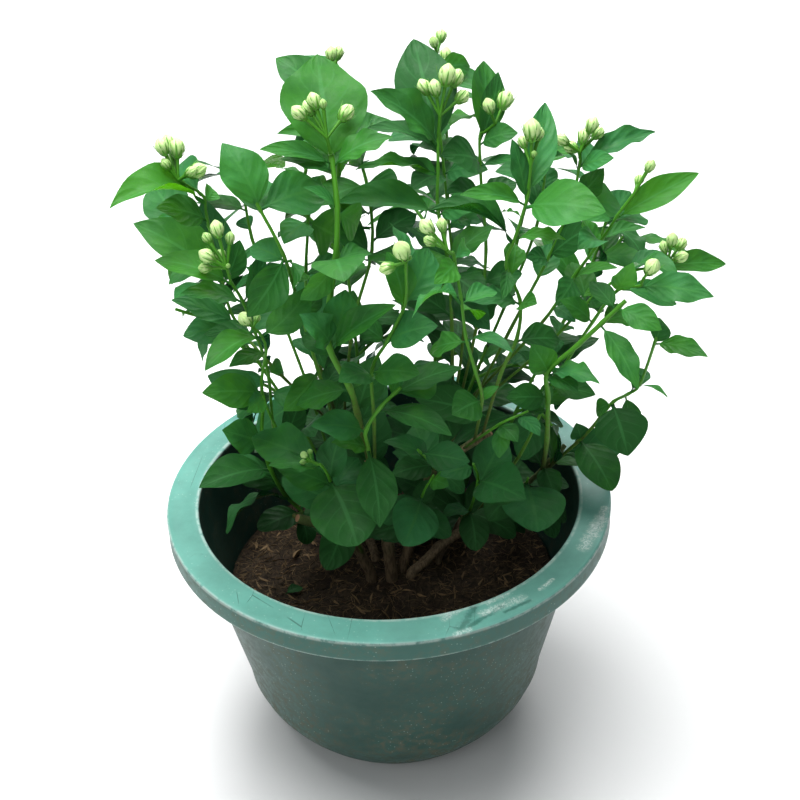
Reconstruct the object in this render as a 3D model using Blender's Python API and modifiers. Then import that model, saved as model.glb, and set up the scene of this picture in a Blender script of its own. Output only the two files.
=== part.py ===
"""Potted arabian jasmine: a bushy shrub with buds, in a low round pot with a turned-down rim.

Run with: blender --background --python part.py

Lengths are in millimetres and become metres when a mesh is made. +Z is up, +X is to the right and
+Y is away from the front. The origin is the middle of the pot's foot.

The visible part of the plant is laid out from marks on a square drawing sheet, as one would trace it
from a front elevation seen from above: a mark gives the place on the sheet, and a depth says how far
the point lies behind the crown's front. The back of the crown grows by a seeded rule.
"""

import math
import random
from typing import NamedTuple

import bmesh
import bpy
import numpy as np
from mathutils import Vector
from mathutils.bvhtree import BVHTree
from mathutils.kdtree import KDTree

MM = 0.001
GAP = 0.3

# Pot
POT_HEIGHT = 175.0
RIM_RADIUS = 140.0
MOUTH_RADIUS = 120.0
LIP_DROP = 14.0
WALL = 4.0
FLOOR = 5.0
SHOULDER_RADIUS = 124.0
HAUNCH_RADIUS = 100.0
HAUNCH_HEIGHT = 54.0
FOOT_RADIUS = 69.0
RIM_THICKNESS = 3.0
RIM_EDGE = 1.2
HAUNCH_SHARES = (0.4, 0.7, 1.0)
POT_STEPS = 30
SHARP_ANGLE = math.radians(35.0)
MERGE = 0.01
AXIS_MERGE = 0.1
POT_COLOUR = (0.16, 0.33, 0.28)
POT_ROUGHNESS = 0.45

# Soil
SOIL_HEIGHT = 107.0
SOIL_LUMP = 1.6
SOIL_WAVE_X = 17.0
SOIL_WAVE_Y = 13.0
SOIL_WAVE_START = 1.3
SOIL_RIPPLE = 9.0
SOIL_RIPPLE_SHARE = 0.6
SOIL_RINGS = (0.0, 24.0, 52.0, 80.0)
SOIL_EDGE_DROP = 3.0
SOIL_TOP_BAND = 1.0
SOIL_SIDE_GAP = GAP * 1.5
SOIL_HOLE_GAP = GAP * 1.2
SOIL_COLOUR = (0.06, 0.035, 0.02)
SOIL_ROUGHNESS = 0.95
ROOT_DEPTH = 38.0

# Drawing sheet: 800 by 800, seen from the front and above
SHEET_CENTRE = 400.0
VIEW_FOCAL = 1400.0
VIEW_RANGE = 850.0
VIEW_PITCH = math.radians(33.6)
VIEW_ROLL = math.radians(-1.9)
VIEW_AIM = np.array((9.0, 0.0, 243.0))

# Crown envelope: egg-shaped, widest at its girth, domed above and drawn in to the stems below
CROWN_X = 10.0
CROWN_Y = 4.0
CROWN_GIRTH = 340.0
CROWN_HALF_WIDTH = 178.0
CROWN_HALF_DEPTH = 132.0
CROWN_DOME = 138.0
CROWN_DROP = 235.0
CROWN_FLARE = 1.3
CROWN_REACHES = np.arange(500.0, 1000.0, 1.0)

# Woody stems
WOOD_PARTS = 2
WOOD_ROUNDING = 1
CUT_END = 5.0
STUB_SHARE = 0.62
BARK_COLOUR = (0.16, 0.11, 0.06)
BARK_ROUGHNESS = 0.85

# Leafy stems
STEM_PARTS = 1
STEM_TAPER = 0.76
TIP_STUB = 4.0
TIP_SHARE = 0.4
HEEL = 5.0
BRANCH_LEAN = 0.6
RANK_STEP = 6.5

# Leaves, with their sizes as drawn at a distance from the eye
DRAWN_RANGE = 830.0
BLADE_THICKNESS = 0.8
PETIOLE_WIDTH = 1.0
PETIOLE_SHARE = 0.12
LARGE_LEAF = 46.0
STALKED_LEAF = 28.0
NODE_DROP = 1.8
NODE_STEP = 1.3
FOLD = math.radians(16.0)
LARGE_ROWS = ((0.34, 0.84), (0.58, 1.0), (0.83, 0.62))
SMALL_ROWS = ((0.40, 0.94), (0.74, 0.84))
BLADE_MIDDLE = 0.6
LEAST_HINGE = 0.2
LEAF_COLOUR = (0.05, 0.19, 0.05)
LEAF_ROUGHNESS = 0.4

# Buds
STALK_RADIUS = 1.0
PEDICEL_RADIUS = 0.6
FORK_FORWARD = 7.0
BUD_SPREAD = 1.8
BUD_SIDES = 5
BUD_LONG = 1.35
BUD_LEAST_RISE = 1.1
BUD_GIRTH_RISE = 0.1
BUD_NECK_WIDTH = 0.34
BUD_NECK_DROP = 0.7
BUD_FOOT_SHARE = 1.2
BUD_COLOUR = (0.72, 0.86, 0.48)
BUD_ROUGHNESS = 0.5

# Room between stems
SPREAD_ROUNDS = 80
SPREAD_SAMPLE = 2.0
SPREAD_GAP = 0.7
SPREAD_REACH = 5.0
SPREAD_STEP = 1.2
SPREAD_LIMIT = 12.0

# Room between leaves
CLEARANCE = 0.9
CLEAR_ROUNDS = 90
CLEAR_STEP = math.radians(2.2)
CLEAR_LIMIT = math.radians(62.0)

# The crown's far side
BACK_SEED = 11
BACK_TURNS = (math.radians(8.0), math.radians(172.0))
BACK_SEATS = (("wood_right", 3, 14.0), ("wood_back_right", 2, 14.0), ("wood_back_right", 2, 22.0),
              ("wood_back_left", 2, 14.0), ("wood_left", 3, 18.0), ("wood_left", 2, 9.0))
BACK_TOP = 425.0
BACK_SIDE_DROP = 75.0
BACK_RISES = (0.13, 0.35, 0.58, 0.8, 1.0)
BACK_PULLS = (0.46, 0.66, 0.82, 0.93, 1.0)
BACK_TWIGS = ((1, -0.30, 225.0), (2, 0.26, 325.0))
BACK_REACH = 0.86
BACK_STEM_SHARE = 0.8
BACK_THICK = 3.4
TWIG_RADII = (1.1, 1.1, 0.95)
TWIG_BOW = 8.0
TWIG_STEP = 12.0
BACK_BUDS = 3
BACK_BUD_WIDTHS = (5.5, 7.5)
BACK_BUD_RISE = 13.0
BACK_BUD_LEAN = 0.55
BACK_LONG = (34.0, 50.0)
BACK_SLIMNESS = (0.5, 0.62)
BACK_ARCH = 4.0
BACK_DROOP = (-0.6, 0.1)
BACK_OUTWARD = (0.3, 1.0)
BACK_FORWARD = (0.0, 0.3)
BACK_FACING = (0.2, 0.8)
BACK_SHRINK = 0.5
BACK_TRIES = 16
DRAW_IN = 0.9
SEE_THROUGH_MARGIN = 4

# See-through places of the crown on the sheet: across, down and radius
SEE_THROUGH = (
    (300, 250, 12), (255, 235, 8), (272, 225, 9), (366, 245, 12), (362, 287, 6), (382, 289, 9),
    (284, 332, 9), (282, 350, 7), (300, 372, 14), (240, 360, 8), (490, 252, 10), (496, 202, 9),
    (545, 220, 12), (532, 280, 9), (545, 300, 9), (510, 325, 12), (535, 312, 8), (592, 325, 10),
    (610, 282, 8), (595, 366, 14), (606, 394, 8), (627, 390, 7), (398, 352, 8), (380, 153, 6),
    (400, 172, 10), (463, 133, 8), (512, 125, 8), (505, 150, 8), (650, 350, 14), (580, 417, 10),
)
# The crown's drawn outline on the sheet
CROWN_OUTLINE = (
    (118, 205), (150, 178), (162, 140), (180, 145), (222, 145), (275, 165), (258, 148), (276, 55),
    (340, 48), (366, 110), (395, 66), (440, 28), (484, 62), (512, 100), (548, 98), (600, 118),
    (654, 134), (640, 160), (698, 174), (640, 232), (680, 236), (728, 244), (712, 300), (664, 318),
    (708, 358), (640, 390), (646, 430), (620, 486), (571, 470), (565, 545), (300, 545), (205, 480),
    (245, 420), (203, 390), (206, 368), (184, 330), (170, 300), (160, 262), (132, 225),
)

NEAR = -1
FAR = 1


class Leaf(NamedTuple):
    """A blade: the stem mark it grows from, its tip on the sheet, its size and its attitude.

    lean says whether the tip comes nearer than the root or goes further away, turn is the roll about
    the blade's length in degrees from squarely facing the front, and arch is the bow of the midrib.
    """

    joint: int
    tip: tuple
    long: float
    wide: float
    lean: int = NEAR
    turn: float = 20.0
    arch: float = 4.0


class Wood(NamedTuple):
    """A woody stem: marks (across, down, depth behind the pot's axis), thickness, cut side stubs."""

    name: str
    foot: tuple
    marks: tuple
    thick: float
    stubs: tuple = ()


class Shoot(NamedTuple):
    """A leafy stem: the woody stem and mark that it grows from, its own marks and its leaves.

    A mark is (across, down, depth behind the crown's front).
    """

    name: str
    wood: str
    at: int
    thick: float
    marks: tuple
    leaves: tuple
    stubs: tuple = ()


class Cluster(NamedTuple):
    """A bud cluster: the shoot that carries it, the mark where it forks, and (across, down, width)."""

    name: str
    shoot: str
    fork: tuple
    buds: tuple


WOOD = (
    Wood("wood_left", (372, 580), ((356, 545, -14), (332, 529, -20), (304, 520, -26)), 7.5),
    Wood("wood_middle", (392, 580), ((388, 545, -10), (380, 508, -6), (371, 466, -4)), 8.4,
         ((2, (386, 480)),)),
    Wood("wood_centre", (402, 572), ((412, 532, 0), (424, 492, -14), (438, 466, -18), (484, 436, -18)), 6.4,
         ((3, (454, 434)),)),
    Wood("wood_right", (410, 578), ((440, 546, 2), (468, 527, 8), (526, 487, 14), (551, 462, 16)), 7.0,
         ((4, (565, 445)),)),
    Wood("wood_thin", (438, 562), ((462, 518, 16), (476, 496, 20)), 4.4),
    Wood("wood_back_left", (376, 560), ((362, 515, 34), (345, 455, 56), (338, 420, 66)), 6.4),
    Wood("wood_back_right", (408, 556), ((428, 505, 36), (448, 450, 56), (458, 408, 66)), 6.8),
)

SHOOTS = (
    Shoot("shoot_left_base", "wood_left", 3, 4.4,
          ((302, 512, 52), (285, 495, 46), (270, 468, 42), (262, 440, 54), (263, 405, 56)), (
              Leaf(0, (258, 530), 33, 19, NEAR, 35, 3),
              Leaf(1, (227, 534), 46, 22, NEAR, 76, 9),
              Leaf(2, (199, 488), 47, 25, NEAR, 40, 4),
              Leaf(3, (222, 430), 31, 22, NEAR, 15, 2),
              Leaf(4, (236, 410), 24, 16, FAR, 30, 2))),
    Shoot("shoot_front_left", "wood_left", 1, 3.2,
          ((344, 518, 30), (330, 480, 16), (322, 466, 6)), (
              Leaf(0, (326, 570), 34, 21, NEAR, 10, 3),
              Leaf(1, (357, 546), 46, 42, NEAR, 10, 4),
              Leaf(2, (249, 436), 54, 28, NEAR, 24, 5),
              Leaf(2, (268, 466), 34, 20, NEAR, 55, 3))),
    Shoot("shoot_centre", "wood_centre", 3, 3.0,
          ((430, 462, 30), (420, 452, 24)), (
              Leaf(0, (383, 442), 38, 17, NEAR, 30, 6),
              Leaf(0, (414, 424), 28, 22, FAR, 15, 2),
              Leaf(1, (470, 462), 32, 20, NEAR, 30, 2))),
    Shoot("shoot_front_low", "wood_centre", 1, 2.6,
          ((422, 496, 22), (432, 478, 20)), (
              Leaf(0, (403, 546), 36, 29, NEAR, 12, 4),
              Leaf(0, (384, 524), 28, 18, NEAR, 30, 3),
              Leaf(1, (449, 486), 16, 12, NEAR, 20, 1))),
    Shoot("shoot_low_right", "wood_thin", 1, 3.0,
          ((470, 510, 34), (478, 480, 28), (474, 466, 24)), (
              Leaf(0, (476, 551), 26, 18, NEAR, 12, 2),
              Leaf(0, (444, 516), 24, 12, NEAR, 45, 3),
              Leaf(1, (526, 500), 48, 30, NEAR, 24, 4),
              Leaf(2, (440, 476), 24, 16, NEAR, 30, 2))),
    Shoot("shoot_pot_right", "wood_right", 3, 2.6,
          ((528, 478, 30), (526, 484, 18)), (
              Leaf(1, (540, 541), 37, 38, NEAR, 15, 4),
              Leaf(1, (486, 522), 34, 24, NEAR, 30, 3))),
    Shoot("shoot_right_low", "wood_right", 4, 3.4,
          ((582, 438, 38), (600, 418, 34), (613, 402, 32), (628, 394, 34), (640, 384, 30), (655, 342, 26)), (
              Leaf(0, (576, 423), 15, 12, NEAR, 10, 1),
              Leaf(0, (612, 491), 40, 26, NEAR, 30, 3),
              Leaf(2, (628, 456), 34, 32, NEAR, 12, 3),
              Leaf(2, (596, 412), 16, 12, FAR, 30, 1),
              Leaf(4, (668, 398), 20, 10, NEAR, 78, 2),
              Leaf(5, (708, 357), 38, 14, NEAR, 35, 3),
              Leaf(5, (660, 318), 20, 16, FAR, 30, 2))),
    Shoot("shoot_right_tall", "wood_right", 4, 4.6,
          ((547, 440, 40), (548, 396, 36), (548, 372, 30), (578, 345, 22), (603, 322, 14), (620, 306, 10)), (
              Leaf(1, (504, 398), 29, 17, NEAR, 15, 2),
              Leaf(2, (531, 344), 24, 19, NEAR, 10, 4),
              Leaf(2, (600, 384), 36, 14, NEAR, 45, 5),
              Leaf(2, (578, 392), 26, 16, NEAR, 35, 3),
              Leaf(3, (620, 336), 30, 16, NEAR, 40, 3),
              Leaf(4, (638, 390), 46, 17, NEAR, 30, 3),
              Leaf(5, (662, 330), 30, 16, NEAR, 25, 3),
              Leaf(5, (592, 284), 26, 14, FAR, 30, 2))),
    Shoot("shoot_right_tip", "wood_right", 2, 3.0,
          ((520, 455, 62), (556, 380, 60), (594, 320, 44), (618, 290, 30), (640, 286, 14)), (
              Leaf(4, (714, 297), 46, 20, NEAR, 25, 4),
              Leaf(3, (633, 262), 28, 15, NEAR, 20, 2),
              Leaf(2, (560, 300), 26, 16, NEAR, 35, 2),
              Leaf(3, (588, 296), 24, 13, NEAR, 50, 2),
              Leaf(1, (528, 412), 26, 14, NEAR, 55, 2))),
    Shoot("shoot_right_upper", "wood_back_right", 3, 3.0,
          ((536, 330, 90), (575, 275, 66), (603, 238, 40), (617, 216, 26)), (
              Leaf(3, (699, 173), 55, 18, FAR, 15, 3),
              Leaf(3, (574, 217), 28, 11, NEAR, 45, 2),
              Leaf(2, (646, 228), 30, 11, FAR, 50, 3),
              Leaf(2, (578, 250), 36, 17, NEAR, 40, 4),
              Leaf(1, (556, 306), 28, 16, NEAR, 25, 3),
              Leaf(1, (618, 268), 30, 12, NEAR, 60, 3))),
    Shoot("shoot_right_side", "wood_back_right", 3, 3.0,
          ((540, 352, 86), (590, 300, 72), (630, 272, 60), (660, 268, 50)), (
              Leaf(3, (726, 264), 46, 15, FAR, 25, 4),
              Leaf(2, (681, 284), 40, 18, NEAR, 62, 9),
              Leaf(2, (676, 256), 32, 16, FAR, 55, 5),
              Leaf(1, (616, 300), 26, 13, NEAR, 35, 2),
              Leaf(1, (572, 262), 36, 20, FAR, 30, 3))),
    Shoot("shoot_right_back", "wood_back_right", 2, 3.0,
          ((510, 330, 112), (550, 255, 96), (572, 200, 76), (580, 162, 60)), (
              Leaf(3, (656, 132), 52, 15, FAR, 35, 4),
              Leaf(3, (614, 158), 26, 14, NEAR, 35, 2),
              Leaf(3, (556, 142), 20, 8, FAR, 60, 1),
              Leaf(2, (620, 206), 40, 22, FAR, 25, 4),
              Leaf(2, (604, 168), 30, 16, FAR, 20, 3),
              Leaf(1, (596, 224), 38, 20, NEAR, 30, 3),
              Leaf(1, (526, 258), 22, 13, NEAR, 30, 2))),
    Shoot("shoot_right_inner", "wood_centre", 4, 3.2,
          ((500, 376, 40), (517, 338, 42), (520, 300, 44), (506, 266, 40), (516, 236, 34), (528, 196, 26)), (
              Leaf(5, (548, 88), 68, 21, FAR, 18, 3),
              Leaf(5, (511, 136), 38, 15, FAR, 35, 2),
              Leaf(5, (460, 195), 44, 14, NEAR, 40, 4),
              Leaf(5, (606, 212), 54, 32, NEAR, 30, 5),
              Leaf(4, (566, 240), 34, 11, NEAR, 50, 3),
              Leaf(4, (428, 212), 54, 18, NEAR, 62, 8),
              Leaf(3, (502, 300), 30, 9, NEAR, 20, 2),
              Leaf(2, (470, 302), 34, 16, NEAR, 40, 4),
              Leaf(2, (537, 304), 20, 14, NEAR, 45, 2),
              Leaf(1, (560, 340), 32, 20, FAR, 35, 3))),
    Shoot("shoot_long", "wood_centre", 4, 3.0,
          ((482, 400, 22), (475, 370, 16), (466, 337, 10), (461, 298, 6), (454, 256, 2)), (
              Leaf(0, (452, 415), 24, 22, NEAR, 10, 2),
              Leaf(0, (499, 386), 14, 7, NEAR, 30, 1),
              Leaf(2, (513, 353), 34, 12, NEAR, 55, 4),
              Leaf(2, (430, 352), 32, 18, FAR, 40, 3),
              Leaf(3, (412, 318), 40, 16, NEAR, 64, 8),
              Leaf(3, (497, 292), 28, 14, FAR, 40, 3),
              Leaf(4, (464, 243), 22, 11, FAR, 20, 3),
              Leaf(4, (434, 284), 30, 15, NEAR, 20, 3),
              Leaf(4, (482, 268), 22, 13, FAR, 30, 2))),
    Shoot("shoot_centre_right", "wood_centre", 4, 2.8,
          ((500, 424, 24), (522, 414, 20)), (
              Leaf(0, (499, 462), 20, 11, NEAR, 15, 2),
              Leaf(0, (518, 442), 20, 13, NEAR, 25, 2),
              Leaf(1, (548, 410), 24, 10, FAR, 55, 2),
              Leaf(1, (540, 436), 22, 12, NEAR, 40, 2))),
    Shoot("shoot_centre_left", "wood_middle", 3, 5.6,
          ((357, 412, 40), (350, 388, 38), (328, 344, 30), (330, 300, 42), (336, 257, 26), (337, 206, 24),
           (332, 160, 22)), (
              Leaf(1, (300, 404), 36, 22, FAR, 40, 3),
              Leaf(1, (384, 376), 26, 10, FAR, 60, 2),
              Leaf(2, (299, 314), 32, 22, NEAR, 28, 6),
              Leaf(2, (346, 289), 36, 26, NEAR, 18, 4),
              Leaf(2, (403, 300), 54, 18, NEAR, 35, 4),
              Leaf(4, (344, 282), 38, 32, NEAR, 10, 4),
              Leaf(4, (372, 254), 26, 14, FAR, 50, 3),
              Leaf(4, (300, 300), 30, 16, NEAR, 40, 3),
              Leaf(5, (303, 187), 26, 9, NEAR, 50, 3),
              Leaf(5, (356, 226), 34, 24, FAR, 20, 3),
              Leaf(6, (257, 149), 48, 15, NEAR, 48, 3),
              Leaf(6, (393, 137), 40, 20, NEAR, 48, 4),
              Leaf(6, (316, 44), 80, 53, FAR, 8, 4),
              Leaf(6, (282, 160), 34, 16, NEAR, 40, 3))),
    Shoot("shoot_left_inner", "wood_back_left", 2, 3.2,
          ((318, 370, 66), (300, 310, 52), (284, 256, 24), (258, 206, 12)), (
              Leaf(3, (326, 190), 48, 32, FAR, 25, 5),
              Leaf(3, (222, 143), 46, 30, FAR, 15, 5),
              Leaf(2, (247, 317), 42, 24, NEAR, 18, 4),
              Leaf(2, (293, 289), 24, 9, NEAR, 50, 4),
              Leaf(2, (250, 247), 26, 18, FAR, 25, 3),
              Leaf(1, (256, 330), 34, 20, NEAR, 40, 3),
              Leaf(1, (322, 290), 22, 12, FAR, 30, 2),
              Leaf(0, (286, 408), 34, 20, NEAR, 35, 3))),
    Shoot("shoot_left_wall", "wood_back_left", 3, 3.0,
          ((310, 330, 90), (306, 270, 70), (308, 218, 50), (302, 186, 40)), (
              Leaf(2, (336, 236), 36, 30, FAR, 15, 3),
              Leaf(2, (284, 244), 30, 20, NEAR, 25, 3),
              Leaf(3, (276, 168), 28, 14, FAR, 50, 4),
              Leaf(3, (326, 190), 22, 14, FAR, 30, 3),
              Leaf(1, (290, 282), 24, 16, NEAR, 30, 2),
              Leaf(1, (352, 262), 26, 16, FAR, 35, 3))),
    Shoot("shoot_left_crest", "wood_back_left", 3, 2.8,
          ((278, 372, 82), (236, 322, 80), (222, 280, 62), (207, 218, 30), (204, 197, 18), (188, 186, 8)), (
              Leaf(4, (117, 208), 60, 28, NEAR, 60, 8),
              Leaf(3, (156, 208), 36, 22, NEAR, 30, 3),
              Leaf(4, (212, 188), 18, 12, FAR, 20, 2),
              Leaf(2, (131, 222), 62, 34, NEAR, 36, 5),
              Leaf(2, (240, 240), 28, 17, FAR, 30, 2),
              Leaf(1, (171, 300), 44, 20, NEAR, 35, 3),
              Leaf(1, (183, 336), 34, 22, NEAR, 25, 3))),
    Shoot("shoot_left_mid", "wood_left", 3, 3.0,
          ((290, 470, 66), (274, 430, 64), (268, 372, 58), (254, 330, 50), (242, 300, 28), (231, 282, 12)), (
              Leaf(5, (160, 262), 48, 22, NEAR, 40, 4),
              Leaf(4, (180, 294), 42, 18, NEAR, 45, 4),
              Leaf(4, (262, 252), 34, 15, FAR, 35, 3),
              Leaf(3, (204, 334), 34, 16, FAR, 50, 2),
              Leaf(2, (280, 360), 14, 10, FAR, 30, 1))),
    Shoot("shoot_left_low", "wood_left", 2, 3.0,
          ((300, 478, 70), (282, 440, 66), (262, 392, 54), (266, 350, 36), (260, 334, 26)), (
              Leaf(4, (205, 371), 46, 20, NEAR, 46, 5),
              Leaf(4, (312, 284), 44, 24, FAR, 25, 4),
              Leaf(4, (214, 350), 34, 14, FAR, 60, 3),
              Leaf(2, (202, 393), 40, 22, NEAR, 12, 3),
              Leaf(2, (247, 412), 22, 13, NEAR, 20, 2),
              Leaf(3, (229, 367), 26, 13, NEAR, 30, 2),
              Leaf(1, (300, 396), 30, 18, FAR, 35, 2))),
    Shoot("shoot_inner", "wood_middle", 3, 3.2,
          ((374, 420, 50), (372, 370, 44), (388, 340, 34), (405, 304, 24), (406, 270, 12)), (
              Leaf(3, (430, 246), 44, 28, FAR, 20, 4),
              Leaf(3, (386, 250), 36, 20, FAR, 30, 4),
              Leaf(4, (388, 222), 36, 18, FAR, 50, 4),
              Leaf(2, (438, 326), 38, 24, NEAR, 30, 4),
              Leaf(2, (352, 322), 30, 20, NEAR, 40, 3),
              Leaf(1, (420, 374), 36, 22, NEAR, 40, 3),
              Leaf(1, (330, 384), 32, 20, NEAR, 40, 3))),
    Shoot("shoot_middle", "wood_middle", 3, 4.0,
          ((368, 448, 34), (366, 430, 30), (380, 408, 32), (396, 392, 36)), (
              Leaf(0, (380, 528), 47, 25, NEAR, 12, 4),
              Leaf(1, (311, 426), 36, 21, NEAR, 20, 4),
              Leaf(2, (452, 436), 50, 22, NEAR, 50, 4),
              Leaf(3, (438, 376), 34, 24, FAR, 22, 3),
              Leaf(3, (462, 368), 46, 20, FAR, 45, 3),
              Leaf(3, (398, 366), 26, 18, FAR, 30, 2))),
    Shoot("shoot_top_middle", "wood_back_right", 3, 3.4,
          ((452, 330, 100), (448, 262, 84), (438, 210, 64), (438, 170, 56), (438, 142, 52)), (
              Leaf(4, (370, 91), 56, 28, NEAR, 46, 5),
              Leaf(4, (363, 127), 44, 15, NEAR, 55, 4),
              Leaf(4, (411, 28), 75, 37, FAR, 8, 4),
              Leaf(3, (352, 170), 54, 13, NEAR, 58, 4),
              Leaf(3, (406, 162), 22, 12, NEAR, 40, 2),
              Leaf(2, (338, 203), 62, 25, NEAR, 48, 5),
              Leaf(2, (482, 204), 34, 17, NEAR, 40, 3),
              Leaf(1, (494, 226), 36, 18, FAR, 40, 3),
              Leaf(1, (405, 226), 34, 18, NEAR, 45, 3))),
    Shoot("shoot_top_right", "wood_back_right", 3, 3.0,
          ((478, 320, 124), (486, 250, 110), (482, 196, 92), (480, 160, 84), (480, 136, 80)), (
              Leaf(4, (484, 59), 54, 26, FAR, 35, 3),
              Leaf(4, (498, 73), 44, 18, FAR, 30, 3),
              Leaf(4, (518, 133), 26, 17, NEAR, 45, 3),
              Leaf(3, (441, 156), 40, 26, NEAR, 40, 4),
              Leaf(3, (521, 160), 32, 9, NEAR, 50, 2),
              Leaf(2, (446, 192), 34, 20, NEAR, 30, 3),
              Leaf(2, (516, 182), 32, 16, FAR, 45, 3))),
    Shoot("shoot_top_back", "wood_back_right", 2, 2.8,
          ((464, 330, 140), (452, 250, 132), (444, 170, 120), (438, 110, 108), (436, 66, 100)), (
              Leaf(4, (470, 66), 26, 15, FAR, 30, 3),
              Leaf(3, (405, 92), 36, 20, FAR, 35, 3),
              Leaf(2, (488, 170), 34, 20, NEAR, 40, 3),
              Leaf(2, (412, 190), 34, 20, NEAR, 40, 3),
              Leaf(1, (420, 262), 34, 20, NEAR, 45, 3),
              Leaf(1, (478, 232), 34, 20, FAR, 45, 3))),
    Shoot("shoot_top_left", "wood_back_left", 3, 3.0,
          ((352, 330, 110), (372, 250, 108), (366, 180, 104), (348, 134, 100), (330, 100, 96)), (
              Leaf(4, (276, 58), 44, 25, FAR, 25, 4),
              Leaf(3, (394, 122), 40, 20, FAR, 45, 3),
              Leaf(3, (277, 134), 52, 16, NEAR, 50, 3),
              Leaf(2, (398, 190), 34, 20, NEAR, 45, 3),
              Leaf(2, (318, 206), 40, 24, NEAR, 35, 3),
              Leaf(1, (402, 268), 36, 22, NEAR, 45, 3),
              Leaf(1, (330, 226), 34, 22, NEAR, 40, 3))),
)

CLUSTERS = (
    Cluster("buds_left_crest", "shoot_left_crest", (178, 180),
            ((162, 147, 7), (168, 143, 7), (177, 148, 8), (166, 164, 5), (173, 158, 5), (197, 171, 8),
             (191, 172, 5.5))),
    Cluster("buds_left_mid", "shoot_left_mid", (227, 268),
            ((217, 229, 7), (207, 238, 5), (230, 238, 5), (207, 256, 7), (221, 255, 5.5), (205, 268, 5.5),
             (228, 266, 2.5))),
    Cluster("buds_left_low", "shoot_left_low", (253, 328), ((245, 319, 7), (257, 318, 4))),
    Cluster("buds_left_top", "shoot_centre_left", (327, 138),
            ((299, 113, 7), (309, 108, 7), (314, 101, 7), (323, 104, 4), (346, 113, 8))),
    Cluster("buds_far_left_top", "shoot_top_left", (331, 82), ((331, 54, 6.5), (338, 53, 6.5))),
    Cluster("buds_left_wall", "shoot_left_wall", (306, 170), ((310, 151, 6.5), (301, 158, 3))),
    Cluster("buds_front_left", "shoot_front_left", (311, 461), ((304, 455, 4), (310, 452, 3), (303, 462, 3))),
    Cluster("buds_top_back", "shoot_top_back", (437, 54), ((434, 42, 5.5), (441, 36, 6.5))),
    Cluster("buds_inner", "shoot_inner", (406, 262), ((402, 251, 9), (387, 268, 6.5), (409, 258, 2.5))),
    Cluster("buds_long", "shoot_long", (447, 250), ((427, 227, 7), (430, 241, 5.5), (442, 225, 5.5))),
    Cluster("buds_top_middle", "shoot_top_middle", (440, 116),
            ((447, 75, 9), (456, 78, 8), (424, 87, 7), (435, 88, 7), (462, 97, 7))),
    Cluster("buds_top_right", "shoot_top_right", (495, 124), ((489, 106, 7), (505, 100, 9))),
    Cluster("buds_right_inner", "shoot_right_inner", (531, 166),
            ((532, 130, 9), (523, 142, 5.5), (539, 134, 5.5), (534, 154, 3))),
    Cluster("buds_right_back", "shoot_right_back", (580, 152),
            ((562, 140, 6.5), (571, 147, 7), (584, 136, 7), (592, 125, 7), (598, 133, 6.5))),
    Cluster("buds_right_upper", "shoot_right_upper", (634, 194), ((650, 166, 5.5), (639, 180, 5))),
    Cluster("buds_right_side", "shoot_right_side", (668, 262),
            ((672, 240, 6.5), (681, 244, 6.5), (664, 247, 5.5), (681, 257, 6.5))),
    Cluster("buds_right_tip", "shoot_right_tip", (644, 278), ((652, 267, 8),)),
)


def unit(vector):
    """The vector scaled to length one."""
    return vector / np.linalg.norm(vector)


def view_axes():
    """The eye's place and the sheet's right, up and forward directions."""
    forward = np.array((0.0, math.cos(VIEW_PITCH), -math.sin(VIEW_PITCH)))
    level = np.array((1.0, 0.0, 0.0))
    steep = np.cross(level, forward)
    right = level * math.cos(VIEW_ROLL) + steep * math.sin(VIEW_ROLL)
    up = steep * math.cos(VIEW_ROLL) - level * math.sin(VIEW_ROLL)
    return VIEW_AIM - forward * VIEW_RANGE, right, up, forward


EYE, RIGHT, UP, FORWARD = view_axes()


def ray(mark):
    """The unit direction from the eye through a mark on the sheet."""
    across = (mark[0] - SHEET_CENTRE) / VIEW_FOCAL
    down = (mark[1] - SHEET_CENTRE) / VIEW_FOCAL
    return unit(FORWARD + RIGHT * across - UP * down)


def at_height(mark, height):
    """The point of a mark's ray at a height above the ground."""
    along = ray(mark)
    return EYE + along * (height - EYE[2]) / along[2]


def at_depth(mark, depth):
    """The point of a mark's ray at a depth behind the pot's axis."""
    along = ray(mark)
    return EYE + along * (depth - EYE[1]) / along[1]


def at_range(mark, reach):
    """The point of a mark's ray at a distance from the eye, measured straight ahead."""
    along = ray(mark)
    return EYE + along * reach / along.dot(FORWARD)


def crown_swell(height):
    """The crown's width at heights, as a share of its width at the girth."""
    dome = np.sqrt(np.clip(1 - ((height - CROWN_GIRTH) / CROWN_DOME) ** 2, 0, 1))
    vase = 1 - np.clip((CROWN_GIRTH - height) / CROWN_DROP, 0, 1) ** CROWN_FLARE
    return np.where(height > CROWN_GIRTH, dome, vase)


def on_crown(mark, back):
    """The point of a mark's ray on the crown's front, moved back along the ray."""
    along = ray(mark)
    points = EYE + np.outer(CROWN_REACHES, along)
    across = (points[:, 0] - CROWN_X) / CROWN_HALF_WIDTH
    depth = (points[:, 1] - CROWN_Y) / CROWN_HALF_DEPTH
    beyond = np.hypot(across, depth) - crown_swell(points[:, 2])
    inside = np.flatnonzero(beyond < 0)
    first = inside[0] if len(inside) else np.argmin(beyond)
    return points[first] + along * back


def crown_point(turn, height, share):
    """A point of the crown by its turn about the upright axis, its height and its share of the width."""
    swell = share * float(crown_swell(np.array(height)))
    return np.array((CROWN_X + CROWN_HALF_WIDTH * swell * math.cos(turn),
                     CROWN_Y + CROWN_HALF_DEPTH * swell * math.sin(turn), height))


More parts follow.
